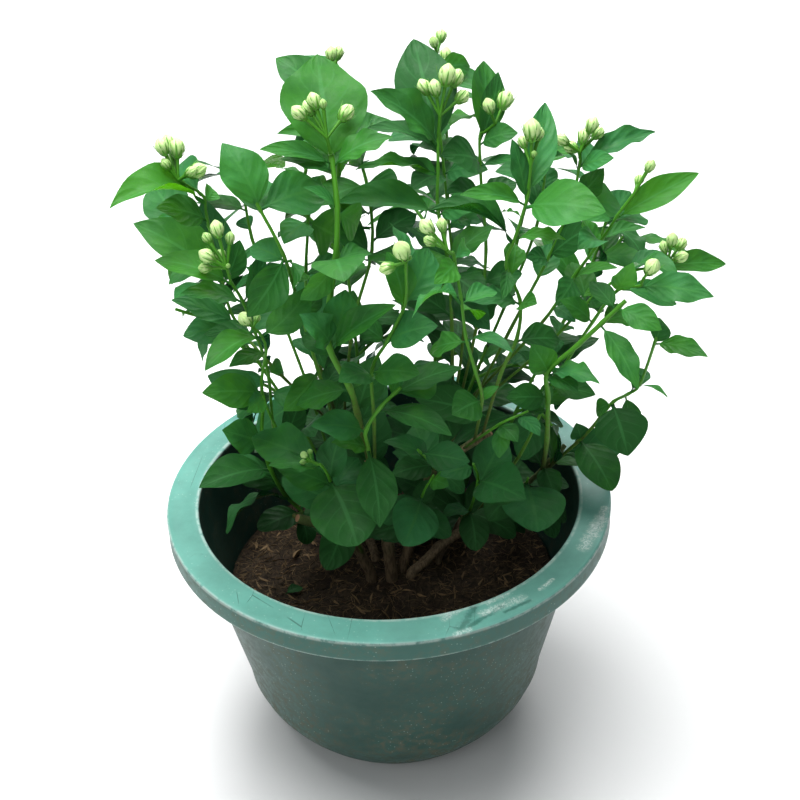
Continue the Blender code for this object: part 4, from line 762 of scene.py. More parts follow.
class Cover:
    """The cells of a flat chart that leaves cover."""

    def __init__(self, cell: float) -> None:
        """Start with no cell covered."""
        self.cell = cell
        self.covered: set[tuple[int, int]] = set()

    def cells(self, spots: Place) -> set[tuple[int, int]]:
        """The cells that the spots lie in."""
        return set(map(tuple, (spots // self.cell).astype(int)))

    def gain(self, spots: Place) -> int:
        """How many cells the spots would cover anew."""
        return len(self.cells(spots) - self.covered)

    def add(self, spots: Place) -> None:
        """Cover the cells of the spots."""
        self.covered |= self.cells(spots)


@dataclass(frozen=True)
class FillRound:
    """One round of fill leaves: how close they stand, how long they are and how far out they turn."""

    step: float
    lengths: tuple[float, float]
    outward: tuple[float, float]
    least_gain: int
    most_hidden: float


FILL_ROUNDS = (
    FillRound(8.0, (30.0, 50.0), (0.1, 0.9), 5, 0.06),
    FillRound(5.0, (20.0, 38.0), (-0.8, 0.8), 3, 0.10),
)


@dataclass
class Filler:
    """More leaves on the same stems, by a seeded rule, where the crown is still thin from some side."""

    growth: Growth
    pot: "PotSizes"
    seed: int = 23
    start: float = 5.0
    slimness: tuple[float, float] = (0.50, 0.66)
    tries: int = 7
    shrink: float = 0.5
    cell: float = 6.0
    wood_from: float = 120.0
    clear_share: float = 0.24
    soil_gap: float = 6.0
    rim_gap: float = 5.0
    hole_margin: float = 2.0
    front_gap: float = 3.0

    def __post_init__(self) -> None:
        """Start with all the room free and nothing covered."""
        self.leaves = Room()
        self.stems = Room()
        self.front = Cover(self.cell)
        self.nearest: dict[tuple[int, int], float] = {}
        self.sides = {name: Cover(self.cell) for name in ("left", "right", "back", "top")}

    def samples(self, blade: Blade, first: float = 0.1) -> Place:
        """Points all over a blade from a share of its length on."""
        chord = unit(blade.tip - blade.root)
        face = unit(blade.face - chord * chord.dot(blade.face))
        side = np.cross(face, chord)
        shares = np.linspace(first, 1.0, max(4, int(blade.long / 2.5)))[:, None, None]
        across = np.linspace(-1.0, 1.0, 9)[None, :, None]
        half = blade.wide / 2 * np.sin(np.pi * shares ** 0.9) ** 0.62
        bow = 4 * blade.arch * shares * (1 - shares)
        points = blade.root + chord * blade.long * shares + side * half * across + face * bow
        return points.reshape(-1, 3)

    def seen(self, points: Place) -> Place:
        """Where the points are seen on the sheet."""
        off = points - VIEW.eye
        ahead = (off @ VIEW.forward)[:, None]
        flat = np.stack((off @ VIEW.right, -(off @ VIEW.up)), axis=1)
        return VIEW.centre + VIEW.focal * flat / ahead

    def charts(self, points: Place) -> list[tuple[Cover, Place]]:
        """The side charts that the points show on, with their spots."""
        middle = points.mean(axis=0)
        pairs = [(self.sides["top"], points[:, :2])]
        if middle[1] > 0:
            pairs.append((self.sides["back"], points[:, ::2]))
        pairs.append((self.sides["left" if middle[0] < CROWN.x else "right"], points[:, 1:]))
        return pairs

    def add(self, blade: Blade, drawn: bool = False) -> None:
        """Count a blade in, and keep what it shows of a drawn one free."""
        points = self.samples(blade)
        self.leaves.take(points)
        spots = self.seen(points)
        self.front.add(spots)
        if drawn:
            for point, cell in zip(points, map(tuple, (spots // self.cell).astype(int))):
                self.nearest[cell] = min(self.nearest.get(cell, math.inf), VIEW.ahead(point))
        for chart, spots in self.charts(points):
            chart.add(spots)

    def add_stem(self, path: Sequence[Place]) -> None:
        """Take the room of a stem's path."""
        for start, end in zip(path, path[1:]):
            count = max(2, int(np.linalg.norm(end - start)))
            self.stems.take(np.linspace(start, end, count))

    def fits(self, blade: Blade, most_hidden: float) -> bool:
        """Whether a blade keeps clear of all else, of the pot and of the crown's see-through places."""
        points = self.samples(blade, self.clear_share)
        if not self.leaves.is_free(points) or not self.stems.is_free(points):
            return False
        low = points[points[:, 2] < self.pot.height + self.rim_gap]
        if len(low) and (np.hypot(low[:, 0], low[:, 1]).max() > self.pot.mouth - self.rim_gap
                         or low[:, 2].min() < self.growth.soil_height + self.soil_gap):
            return False
        spots = self.seen(points)
        for across, down, radius in SEE_THROUGH:
            if np.hypot(spots[:, 0] - across, spots[:, 1] - down).min() < radius + self.hole_margin:
                return False
        hides = sum(VIEW.ahead(point) < self.nearest.get(cell, 0.0) + self.front_gap
                    for point, cell in zip(points, map(tuple, (spots // self.cell).astype(int))))
        if hides > most_hidden * len(points):
            return False
        return all(self.growth.inside_outline(spot) for spot in spots[::4])

    def lines(self, stem: Stem) -> list[tuple[list[Place], float]]:
        """The lines of a stem that can carry leaves, with where they start."""
        woody = stem.name in self.growth.woods
        if woody:
            path = [point for point in stem.path if point[2] > self.wood_from]
            return [(path, 0.0)] if len(path) > 1 else []
        return [(stem.path, self.start)] + [(twig, self.start) for twig, _ in stem.twigs]

    def blade(self, root: Place, growth: Place, across: Place, draw: random.Random, attempt: int,
              rule: FillRound) -> Blade:
        """A leaf drawn by the rule: out from the stem, a little down, and facing up and outwards."""
        out = unit(np.array((root[0] - CROWN.x, root[1] - CROWN.y, 0.0)))
        long = draw.uniform(*rule.lengths) * (1 - self.shrink * attempt / self.tries)
        droop = np.array((0.0, 0.0, draw.uniform(-0.55, 0.25)))
        spread = out * draw.uniform(*rule.outward) + growth * draw.uniform(0.0, 0.5)
        chord = unit(across + spread + droop)
        up = out * draw.uniform(-0.1, 0.7) + np.array((0.0, draw.uniform(-0.5, 0.0), 1.0))
        face = unit(up - chord * chord.dot(up))
        wide = long * draw.uniform(*self.slimness)
        return Blade(root, root + chord * long, face, wide, draw.uniform(2.0, 5.0), False)

    def grow(self, stem: Stem, draw: random.Random, rule: FillRound) -> list[Blade]:
        """The fill leaves of a stem in one round, in crossed pairs along it."""
        blades = []
        for path, start in self.lines(stem):
            spans = np.array([np.linalg.norm(end - low) for low, end in zip(path, path[1:])])
            ends = np.concatenate(((0.0,), np.cumsum(spans)))
            for order, along in enumerate(np.arange(start, ends[-1], rule.step)):
                index = min(int(np.searchsorted(ends, along, side="right")) - 1, len(spans) - 1)
                growth = unit(path[index + 1] - path[index])
                root = path[index] + growth * (along - ends[index])
                across = unit(np.cross(growth, (0.3, 0.1, 1.0)))
                if order % 2:
                    across = np.cross(growth, across)
                for sign in (-1, 1):
                    blade = self.tried(root, growth, across * sign, draw, rule)
                    if blade is not None:
                        blades.append(blade)
                        self.add(blade)
        return blades

    def tried(self, root: Place, growth: Place, across: Place, draw: random.Random,
              rule: FillRound) -> Blade | None:
        """The first drawn leaf that fits and covers enough that was bare, or none."""
        for attempt in range(self.tries):
            blade = self.blade(root, growth, across, draw, attempt, rule)
            points = self.samples(blade)
            gain = self.front.gain(self.seen(points))
            side_gain = max(chart.gain(spots) for chart, spots in self.charts(points))
            if max(gain, side_gain - 2) >= rule.least_gain and self.fits(blade, rule.most_hidden):
                return blade
        return None


class Recipe:
    """A material's node tree, built step by step."""

    def __init__(self, name: str) -> None:
        """Start a material with its Principled shader and its Object coordinates."""
        self.material = bpy.data.materials.new(name)
        self.material.use_nodes = True
        self.tree = self.material.node_tree
        self.shader = self.tree.nodes["Principled BSDF"]
        self.output = self.tree.nodes["Material Output"]
        self.object = self.tree.nodes.new("ShaderNodeTexCoord").outputs["Object"]

    def plug(self, socket: bpy.types.NodeSocket, value: object) -> None:
        """Link a socket to another one, or give it a value."""
        if isinstance(value, bpy.types.NodeSocket):
            self.tree.links.new(value, socket)
        elif isinstance(value, tuple) and len(value) == 3 and socket.type == "RGBA":
            socket.default_value = (*value, 1.0)
        else:
            socket.default_value = value

    def set(self, **values: object) -> None:
        """Give the Principled shader its values, with underscores for spaces in the names."""
        for name, value in values.items():
            self.plug(self.shader.inputs[name.replace("_", " ")], value)

    def maths(self, operation: str, first: object, second: object = 0.0, third: object = 0.0,
              clamp: bool = False) -> bpy.types.NodeSocket:
        """The result of a Math node."""
        node = self.tree.nodes.new("ShaderNodeMath")
        node.operation = operation
        node.use_clamp = clamp
        for socket, value in zip(node.inputs, (first, second, third)):
            self.plug(socket, value)
        return node.outputs[0]

    def noise(self, vector: object, scale: float, detail: float = 3.0, rough: float = 0.55,
              warp: float = 0.0) -> bpy.types.NodeSocket:
        """The value of a Noise texture."""
        node = self.tree.nodes.new("ShaderNodeTexNoise")
        self.plug(node.inputs["Vector"], vector)
        node.inputs["Scale"].default_value = scale
        node.inputs["Detail"].default_value = detail
        node.inputs["Roughness"].default_value = rough
        node.inputs["Distortion"].default_value = warp
        return node.outputs[0]

    def cells(self, vector: object, scale: float, feature: str = "F1") -> bpy.types.NodeSocket:
        """The distance of a Voronoi texture."""
        node = self.tree.nodes.new("ShaderNodeTexVoronoi")
        node.feature = feature
        self.plug(node.inputs["Vector"], vector)
        node.inputs["Scale"].default_value = scale
        return node.outputs["Distance"]

    def band(self, value: object, low: float, high: float, bottom: float = 0.0,
             top: float = 1.0) -> bpy.types.NodeSocket:
        """A smooth step of a value, from bottom at low to top at high."""
        node = self.tree.nodes.new("ShaderNodeMapRange")
        node.interpolation_type = "SMOOTHSTEP"
        for socket, amount in zip(node.inputs, (value, low, high, bottom, top)):
            self.plug(socket, amount)
        return node.outputs["Result"]

    def mix(self, factor: object, first: object, second: object, blend: str = "MIX") -> bpy.types.NodeSocket:
        """Two colours mixed by a factor."""
        node = self.tree.nodes.new("ShaderNodeMix")
        node.data_type = "RGBA"
        node.blend_type = blend
        self.plug(node.inputs[0], factor)
        self.plug(node.inputs[6], first)
        self.plug(node.inputs[7], second)
        return node.outputs[2]

    def scaled(self, vector: object, scale: tuple[float, float, float]) -> bpy.types.NodeSocket:
        """A vector stretched along its axes."""
        node = self.tree.nodes.new("ShaderNodeMapping")
        self.plug(node.inputs["Vector"], vector)
        node.inputs["Scale"].default_value = scale
        return node.outputs[0]

    def split(self, vector: object) -> tuple[bpy.types.NodeSocket, ...]:
        """The three parts of a vector."""
        node = self.tree.nodes.new("ShaderNodeSeparateXYZ")
        self.plug(node.inputs[0], vector)
        return tuple(node.outputs)

    def joined(self, x: object, y: object, z: object) -> bpy.types.NodeSocket:
        """A vector from three values."""
        node = self.tree.nodes.new("ShaderNodeCombineXYZ")
        for socket, value in zip(node.inputs, (x, y, z)):
            self.plug(socket, value)
        return node.outputs[0]

    def attribute(self, name: str) -> bpy.types.NodeSocket:
        """The value of one of the mesh's own attributes."""
        node = self.tree.nodes.new("ShaderNodeAttribute")
        node.attribute_name = name
        return node.outputs["Fac"]

    def chart(self, name: str) -> bpy.types.NodeSocket:
        """The coordinates of one of the mesh's own UV maps."""
        node = self.tree.nodes.new("ShaderNodeUVMap")
        node.uv_map = name
        return node.outputs[0]

    def geometry(self, output: str) -> bpy.types.NodeSocket:
        """One of the outputs of the Geometry node."""
        return self.tree.nodes.new("ShaderNodeNewGeometry").outputs[output]

    def vector(self, operation: str, first: object, second: object, output: str = "Vector",
               scale: object = 1.0) -> bpy.types.NodeSocket:
        """The result of a Vector Math node."""
        node = self.tree.nodes.new("ShaderNodeVectorMath")
        node.operation = operation
        self.plug(node.inputs[0], first)
        self.plug(node.inputs[1], second)
        self.plug(node.inputs[3], scale)
        return node.outputs[output]

    def near(self, place: Place, radius: float, edge: float = 0.4,
             end: Place | None = None) -> bpy.types.NodeSocket:
        """One near a place, or near the line from it to an end, with a ragged edge at a radius in millimetres."""
        span = ((place if end is None else end) - place + np.array((0.0, 0.0, 0.01))) * MM
        off = self.vector("SUBTRACT", self.object, tuple(place * MM))
        share = self.vector("DOT_PRODUCT", off, tuple(span), "Value")
        share = self.maths("MULTIPLY", share, 1.0 / float(span.dot(span)), clamp=True)
        foot = self.vector("SCALE", tuple(span), (0.0, 0.0, 0.0), scale=share)
        apart = self.vector("DISTANCE", off, foot, "Value")
        ragged = self.maths("MULTIPLY_ADD", self.noise(self.object, 260.0), radius * MM * edge * 2, apart)
        return self.band(ragged, radius * MM * (1 + edge), radius * MM * (1 - edge * 0.3), 0.0, 1.0)

    def bump(self, height: object, depth: float, strength: float = 1.0) -> bpy.types.NodeSocket:
        """A bumped normal, with the depth in millimetres, on top of what the shader has."""
        node = self.tree.nodes.new("ShaderNodeBump")
        node.inputs["Strength"].default_value = strength
        node.inputs["Distance"].default_value = depth * MM
        self.plug(node.inputs["Height"], height)
        links = self.shader.inputs["Normal"].links
        if links:
            self.plug(node.inputs["Normal"], links[0].from_socket)
        self.plug(self.shader.inputs["Normal"], node.outputs[0])
        return node.outputs[0]

    def glow_through(self, colour: object, share: object) -> None:
        """Let light pass through a thin piece: mix a share of Translucent into the shader."""
        through = self.tree.nodes.new("ShaderNodeBsdfTranslucent")
        self.plug(through.inputs["Color"], colour)
        blend = self.tree.nodes.new("ShaderNodeMixShader")
        self.plug(blend.inputs[0], share)
        self.tree.links.new(self.shader.outputs[0], blend.inputs[1])
        self.tree.links.new(through.outputs[0], blend.inputs[2])
        self.tree.links.new(blend.outputs[0], self.output.inputs["Surface"])


@dataclass(frozen=True)
class LeafFinish:
    """Leaf green: dark for old leaves and for painted shade low and deep in the crown, bright for young ones; painted
    sheen, pale pinnate veins, soft gloss.
    """

    name: str = "jasmine_leaf"
    old: Colour = (0.001, 0.012, 0.007)
    middle: Colour = (0.003, 0.078, 0.014)
    young: Colour = (0.030, 0.205, 0.004)
    # Painted sheen: a pale blue-green that stands in for the sky's reflection on some leaves.
    painted_sheen: Colour = (0.060, 0.335, 0.190)
    vein: Colour = (0.085, 0.310, 0.110)
    under: Colour = (0.040, 0.190, 0.040)
    scorch: Colour = (0.300, 0.170, 0.060)
    shade_through: Colour = (0.003, 0.060, 0.004)
    light_through: Colour = (0.170, 0.560, 0.006)
    veins: float = 5.0
    slant: float = 0.34
    scorch_mark: Mark = (217, 476)
    scorch_reach: float = 790.0
    scorch_size: float = 6.0

    def make(self) -> bpy.types.Material:
        """The material: it reads the leaf's own chart, its tone and its amount of painted sheen."""
        paint = Recipe(self.name)
        along, across, _ = paint.split(paint.chart("leaf"))
        off = paint.maths("MULTIPLY_ADD", across, 2.0, -1.0)
        side = paint.maths("ABSOLUTE", off)
        phase = paint.maths("MULTIPLY_ADD", paint.maths("POWER", side, 1.3), -self.slant, along)
        phase = paint.maths("MULTIPLY", phase, self.veins)
        phase = paint.maths("MULTIPLY_ADD", paint.maths("SIGN", off), 0.22, phase)
        turn = paint.maths("PINGPONG", phase, 0.5)
        thin = paint.maths("MULTIPLY", paint.band(turn, 0.09, 0.01), paint.band(side, 0.95, 0.4, 0.1, 0.7))
        midrib = paint.maths("MULTIPLY", paint.band(side, 0.090, 0.03), paint.band(along, 1.0, 0.6, 0.5, 1.3))
        veins = paint.maths("MAXIMUM", paint.maths("MULTIPLY", midrib, 1.2), thin)
        tone = paint.attribute("tone")
        blotch = paint.noise(paint.object, 60.0, 5.0, 0.6)
        tone = paint.maths("MULTIPLY_ADD", paint.maths("SUBTRACT", blotch, 0.5), 0.85, tone)
        # The dark low tones serve old leaves and painted shade alike.
        green = paint.mix(paint.band(tone, 0.0, 0.5), self.old, self.middle)
        green = paint.mix(paint.band(tone, 0.45, 1.0), green, self.young)
        # Painted sheen: some leaves are painted pale blue-green as the sky's reflection; each leaf's amount is kept
        # in the attribute that holds a stem's age.
        cloud = paint.noise(paint.object, 34.0, 3.0)
        painted_sheen = paint.maths("MULTIPLY", paint.attribute("age"), paint.band(cloud, 0.35, 0.65, 0.35, 0.9))
        green = paint.mix(paint.maths("MULTIPLY", painted_sheen, paint.band(tone, 0.0, 0.6, 0.40, 1.0)), green, self.painted_sheen)
        web = paint.cells(paint.scaled(paint.chart("leaf"), (2.0, 1.0, 1.0)), 24.0, "DISTANCE_TO_EDGE")
        green = paint.mix(paint.band(web, 0.05, 0.0, 0.0, 0.12), green, self.vein)
        green = paint.mix(paint.maths("MULTIPLY", veins, 0.55), green, self.vein)
        place = VIEW.at_range(self.scorch_mark, self.scorch_reach)
        green = paint.mix(paint.near(place, self.scorch_size), green, self.scorch)
        behind = paint.geometry("Backfacing")
        colour = paint.mix(paint.maths("MULTIPLY", behind, 0.65), green, self.under)
        rough = paint.band(paint.noise(paint.object, 110.0, 4.0), 0.3, 0.7, 0.20, 0.44)
        rough = paint.maths("MULTIPLY_ADD", behind, 0.25, rough)
        paint.set(Base_Color=colour, Roughness=rough, Specular_IOR_Level=0.30)
        quilt = paint.maths("MULTIPLY", paint.band(turn, 0.0, 0.4), paint.band(side, 0.0, 0.3))
        paint.bump(quilt, 0.5, 0.42)
        paint.bump(paint.noise(paint.object, 130.0, 4.0), 1.2, 0.5)
        through = paint.mix(paint.band(tone, 0.15, 0.9), self.shade_through, self.light_through)
        paint.glow_through(through, 0.26)
        return paint.material


@dataclass(frozen=True)
class ShootFinish:
    """A leafy stem: green and smooth where it is young, brown and dull at its foot."""

    name: str = "green_stem"
    green: Colour = (0.070, 0.250, 0.018)
    brown: Colour = (0.110, 0.085, 0.035)

    def make(self) -> bpy.types.Material:
        """The material: it reads how old the stem is at each place."""
        paint = Recipe(self.name)
        age = paint.attribute("age")
        speck = paint.noise(paint.object, 420.0, 4.0)
        age = paint.maths("MULTIPLY_ADD", paint.maths("SUBTRACT", speck, 0.5), 0.5, age)
        colour = paint.mix(paint.band(age, 0.5, 1.05), self.green, self.brown)
        colour = paint.mix(paint.band(speck, 0.62, 0.8, 0.0, 0.25), colour, (0.16, 0.28, 0.07))
        paint.set(Base_Color=colour, Roughness=paint.band(age, 0.2, 1.0, 0.42, 0.75), Specular_IOR_Level=0.3)
        paint.bump(speck, 0.15, 0.6)
        return paint.material


@dataclass(frozen=True)
class BarkFinish:
    """Woody stem: smooth grey-brown bark with fine lengthwise cracks and a paler sawn end."""

    name: str = "bark"
    light: Colour = (0.290, 0.215, 0.130)
    dark: Colour = (0.140, 0.098, 0.056)
    greenish: Colour = (0.095, 0.160, 0.040)
    sawn: Colour = (0.360, 0.210, 0.115)

    def make(self) -> bpy.types.Material:
        """The material: it reads the stem's age and where it is sawn off."""
        paint = Recipe(self.name)
        grain = paint.noise(paint.scaled(paint.object, (700.0, 700.0, 110.0)), 1.0, 5.0, 0.6, 0.4)
        blotch = paint.noise(paint.object, 70.0, 3.0)
        colour = paint.mix(paint.band(grain, 0.38, 0.60), self.dark, self.light)
        height = paint.split(paint.object)[2]
        fresh = paint.maths("MULTIPLY", paint.band(height, 0.125, 0.165), paint.band(blotch, 0.30, 0.55))
        colour = paint.mix(paint.maths("MULTIPLY", fresh, 0.85), colour, self.greenish)
        colour = paint.mix(paint.band(paint.attribute("cut"), 0.5, 0.9), colour, self.sawn)
        paint.set(Base_Color=colour, Roughness=paint.band(grain, 0.3, 0.7, 0.80, 0.60))
        paint.bump(grain, 0.16, 0.4)
        return paint.material


@dataclass(frozen=True)
class BudFinish:
    """Bud: pale cream-green petals with green ribs that run up from the foot, and a green calyx."""

    name: str = "jasmine_bud"
    petal: Colour = (0.570, 0.760, 0.340)
    rib: Colour = (0.190, 0.420, 0.075)
    calyx: Colour = (0.130, 0.370, 0.045)
    ribs: float = 10.0

    def make(self) -> bpy.types.Material:
        """The material: it reads the bud's own chart, and where the calyx is."""
        paint = Recipe(self.name)
        around, up, _ = paint.split(paint.chart("leaf"))
        swirl = paint.maths("MULTIPLY_ADD", up, 0.10, around)
        stripe = paint.maths("PINGPONG", paint.maths("MULTIPLY", swirl, self.ribs), 0.5)
        foot = paint.band(up, 0.50, 0.02)
        ribs = paint.maths("MULTIPLY", paint.band(stripe, 0.24, 0.02), paint.band(up, 0.90, 0.25))
        green = paint.maths("MAXIMUM", paint.maths("MULTIPLY", ribs, 0.62), paint.maths("MULTIPLY", foot, 0.85))
        small = paint.attribute("tone")
        green = paint.maths("MAXIMUM", green, paint.maths("MULTIPLY", small, 0.75))
        colour = paint.mix(green, self.petal, self.rib)
        colour = paint.mix(paint.attribute("calyx"), colour, self.calyx)
        rough = paint.band(paint.noise(paint.object, 300.0), 0.3, 0.7, 0.42, 0.58)
        paint.set(Base_Color=colour, Roughness=rough, Subsurface_Weight=0.2, Subsurface_Scale=0.002)
        paint.shader.inputs["Subsurface Radius"].default_value = (0.6, 1.0, 0.3)
        paint.bump(paint.band(stripe, 0.0, 0.5), 0.35, 0.6)
        return paint.material


@dataclass(frozen=True)
class PlasticFinish:
    """Green pot plastic, body painted dark as shade, rim top bleached and painted lit, edges with painted highlight
    and wear; lime scuffs, a wet patch, hairlines and dried dust.
    """

    name: str = "green_plastic"
    deep: Colour = (0.010, 0.058, 0.044)
    clouded: Colour = (0.024, 0.090, 0.070)
    # Bleached plastic, also used as painted sky light on the rim's top.
    bleached_and_lit: Colour = (0.165, 0.440, 0.370)
    # Lime scale, also used for the painted edge highlight.
    lime_and_highlight: Colour = (0.560, 0.680, 0.640)
    dust: Colour = (0.130, 0.120, 0.080)
    wet: Colour = (0.008, 0.085, 0.065)
    rim_height: float = 175.0
    scuffs: tuple[tuple[Mark, Mark, float], ...] = (
        ((444, 618), (457, 610), 3.5), ((456, 634), (470, 629), 2.5), ((482, 613), (522, 597), 4.0),
        ((488, 603), (508, 594), 2.5), ((540, 589), (553, 579), 2.0), ((583, 547), (602, 520), 5.5),
        ((590, 530), (606, 508), 4.0), ((284, 633), (293, 635), 2.0))
    wet_marks: tuple[tuple[Mark, Mark, float], ...] = (
        ((461, 627), (474, 609), 4.5), ((470, 626), (502, 606), 3.0), ((505, 612), (530, 600), 2.0))

    def make(self) -> bpy.types.Material:
        """The material, on Object coordinates."""
        paint = Recipe(self.name)
        x, y, z = paint.split(paint.object)
        normal = paint.split(paint.geometry("Normal"))[2]
        cloud = paint.noise(paint.object, 22.0, 5.0, 0.6)
        fine = paint.noise(paint.object, 190.0, 5.0, 0.65)
        radius = paint.maths("SQRT", paint.maths("ADD", paint.maths("MULTIPLY", x, x), paint.maths("MULTIPLY", y, y)))
        # Painted sky light: the rim's upward-facing top gets the bleached colour, part real bleaching and part
        # painted light.
        on_rim = paint.maths("MULTIPLY", paint.band(z, 0.171, 0.1735), paint.band(normal, 0.3, 0.8))
        # The body's deep green is painted dark, partly as painted shade.
        colour = paint.mix(paint.band(cloud, 0.3, 0.7, 0.0, 0.8), self.deep, self.clouded)
        fade = paint.band(cloud, 0.25, 0.75, 0.62, 1.0)
        colour = paint.mix(paint.maths("MULTIPLY", on_rim, fade), colour, self.bleached_and_lit)
        lip = paint.maths("MULTIPLY", paint.band(z, 0.159, 0.162), paint.band(radius, 0.1360, 0.1385))
        colour = paint.mix(paint.maths("MULTIPLY", lip, 0.17), colour, self.bleached_and_lit)
        # Painted highlight and wear: thin pale lines along the rim's outer edge, the mouth's inner edge and the lip's
        # lower edge.
        edge_highlight_and_wear = paint.maths("MAXIMUM", paint.band(radius, 0.1383, 0.1396), paint.band(radius, 0.1228, 0.1212))
        edge_highlight_and_wear = paint.maths("MULTIPLY", edge_highlight_and_wear, paint.band(z, 0.1720, 0.1738))
        hem = paint.maths("MULTIPLY", paint.band(z, 0.1628, 0.1612), paint.band(radius, 0.1380, 0.1390))
        edge_highlight_and_wear = paint.maths("MAXIMUM", edge_highlight_and_wear, hem)
        edge_highlight_and_wear = paint.maths("MULTIPLY", edge_highlight_and_wear, paint.band(fine, 0.35, 0.60, 0.10, 0.60))
        colour = paint.mix(edge_highlight_and_wear, colour, self.lime_and_highlight)
        low = paint.band(z, 0.10, 0.0)
        film = paint.maths("MULTIPLY", paint.band(fine, 0.42, 0.66), paint.band(cloud, 0.32, 0.60))
        film = paint.maths("MULTIPLY", film, paint.maths("MULTIPLY_ADD", low, 0.50, 0.45))
        film = paint.maths("MULTIPLY", film, paint.maths("MULTIPLY_ADD", on_rim, -0.85, 1.0))
        colour = paint.mix(film, colour, self.dust)
        speck = paint.cells(paint.object, 330.0)
        pale = paint.maths("MULTIPLY", paint.band(speck, 0.18, 0.08), paint.band(cloud, 0.42, 0.6))
        colour = paint.mix(paint.maths("MULTIPLY", pale, 0.32), colour, self.lime_and_highlight)
        damp = None
        for mark, end, size in self.wet_marks:
            spot = paint.near(VIEW.at_height(mark, self.rim_height), size, 0.8, VIEW.at_height(end, self.rim_height))
            damp = spot if damp is None else paint.maths("MAXIMUM", damp, spot)
        colour = paint.mix(paint.maths("MULTIPLY", damp, 0.60), colour, self.wet)
        scratch = paint.noise(paint.object, 430.0, 6.0, 0.75, 1.5)
        for mark, end, size in self.scuffs:
            spot = paint.near(VIEW.at_height(mark, self.rim_height), size, 0.6, VIEW.at_height(end, self.rim_height))
            broken = paint.maths("MULTIPLY", spot, paint.band(scratch, 0.48, 0.56, 0.22, 0.95))
            colour = paint.mix(broken, colour, self.lime_and_highlight)
        hair = paint.cells(paint.scaled(paint.object, (1.0, 0.35, 1.0)), 55.0, "DISTANCE_TO_EDGE")
        crack = paint.maths("MULTIPLY", paint.band(hair, 0.012, 0.004), paint.band(cloud, 0.55, 0.65))
        crack = paint.maths("MULTIPLY", crack, on_rim)
        colour = paint.mix(paint.maths("MULTIPLY", crack, 0.6), colour, (0.02, 0.07, 0.055))
        rough = paint.maths("MULTIPLY_ADD", fine, 0.28, 0.30)
        rough = paint.maths("MULTIPLY_ADD", film, 0.35, rough)
        rough = paint.maths("MULTIPLY_ADD", damp, -0.30, rough, clamp=True)
        paint.set(Base_Color=colour, Roughness=rough, Specular_IOR_Level=0.38, Coat_Weight=0.10,
                  Coat_Roughness=0.35)
        paint.bump(fine, 0.10, 0.5)
        paint.bump(cloud, 0.5, 0.25)
        return paint.material


@dataclass(frozen=True)
class SoilFinish:
    """Coir soil: dark, matt and fibrous."""

    name: str = "potting_soil"
    dark: Colour = (0.022, 0.015, 0.008)
    light: Colour = (0.100, 0.066, 0.034)

    def make(self) -> bpy.types.Material:
        """The material, on Object coordinates."""
        paint = Recipe(self.name)
        grain = paint.noise(paint.object, 320.0, 6.0, 0.7)
        blotch = paint.noise(paint.object, 45.0, 3.0)
        colour = paint.mix(paint.band(grain, 0.35, 0.7), self.dark, self.light)
        colour = paint.mix(paint.band(blotch, 0.5, 0.7, 0.0, 0.5), colour, (0.030, 0.014, 0.010))
        paint.set(Base_Color=colour, Roughness=paint.band(grain, 0.2, 0.8, 0.98, 0.8))
        paint.bump(grain, 1.2, 0.9)
        return paint.material


@dataclass(frozen=True)
class LitterFinish:
    """Coir fibres and crumbs, each with a brown of its own."""

    name: str = "coir_fibre"
    dark: Colour = (0.022, 0.014, 0.006)
    light: Colour = (0.320, 0.215, 0.110)

    def make(self) -> bpy.types.Material:
        """The material: it reads each bit's own tone."""
        paint = Recipe(self.name)
        tone = paint.attribute("tone")
        fleck = paint.noise(paint.object, 600.0, 3.0)
        colour = paint.mix(paint.band(tone, 0.50, 1.0), self.dark, self.light)
        colour = paint.mix(paint.band(fleck, 0.4, 0.7, 0.0, 0.4), colour, self.dark)
        paint.set(Base_Color=colour, Roughness=paint.band(fleck, 0.3, 0.7, 0.9, 0.7))
        return paint.material


@dataclass(frozen=True)
class FloorFinish:
    """The floor's pale, even finish, which stays as pale far off as it is under the lights."""

    name: str = "pale_floor"
    colour: Colour = (0.86, 0.86, 0.86)
    rough: float = 0.9
    glow: float = 0.68
    near: float = 0.8
    far: float = 2.4

    def make(self) -> bpy.types.Material:
        """The material."""
        paint = Recipe(self.name)
        away = paint.vector("LENGTH", paint.object, (0.0, 0.0, 0.0), "Value")
        paint.set(Base_Color=self.colour, Roughness=self.rough, Emission_Color=(1.0, 1.0, 1.0),
                  Emission_Strength=paint.band(away, self.near, self.far, 0.0, self.glow))
        return paint.material


@dataclass(frozen=True)
class Finishes:
    """Every finish of the model, made once."""

    leaf: bpy.types.Material = field(default_factory=lambda: LeafFinish().make())
    shoot: bpy.types.Material = field(default_factory=lambda: ShootFinish().make())
    bark: bpy.types.Material = field(default_factory=lambda: BarkFinish().make())
    bud: bpy.types.Material = field(default_factory=lambda: BudFinish().make())
    plastic: bpy.types.Material = field(default_factory=lambda: PlasticFinish().make())
    soil: bpy.types.Material = field(default_factory=lambda: SoilFinish().make())
    litter: bpy.types.Material = field(default_factory=lambda: LitterFinish().make())


class LeafKind(Enum):
    """The shapes that a leaf can have; the number is its place among the shapes."""

    FLAT = 0
    WAVY = 1
    CUPPED = 2
    TWISTED = 3
    FOLDED = 4
    FOLDED_WAVY = 5
    BLUNT = 6
    BLUNT_WAVY = 7


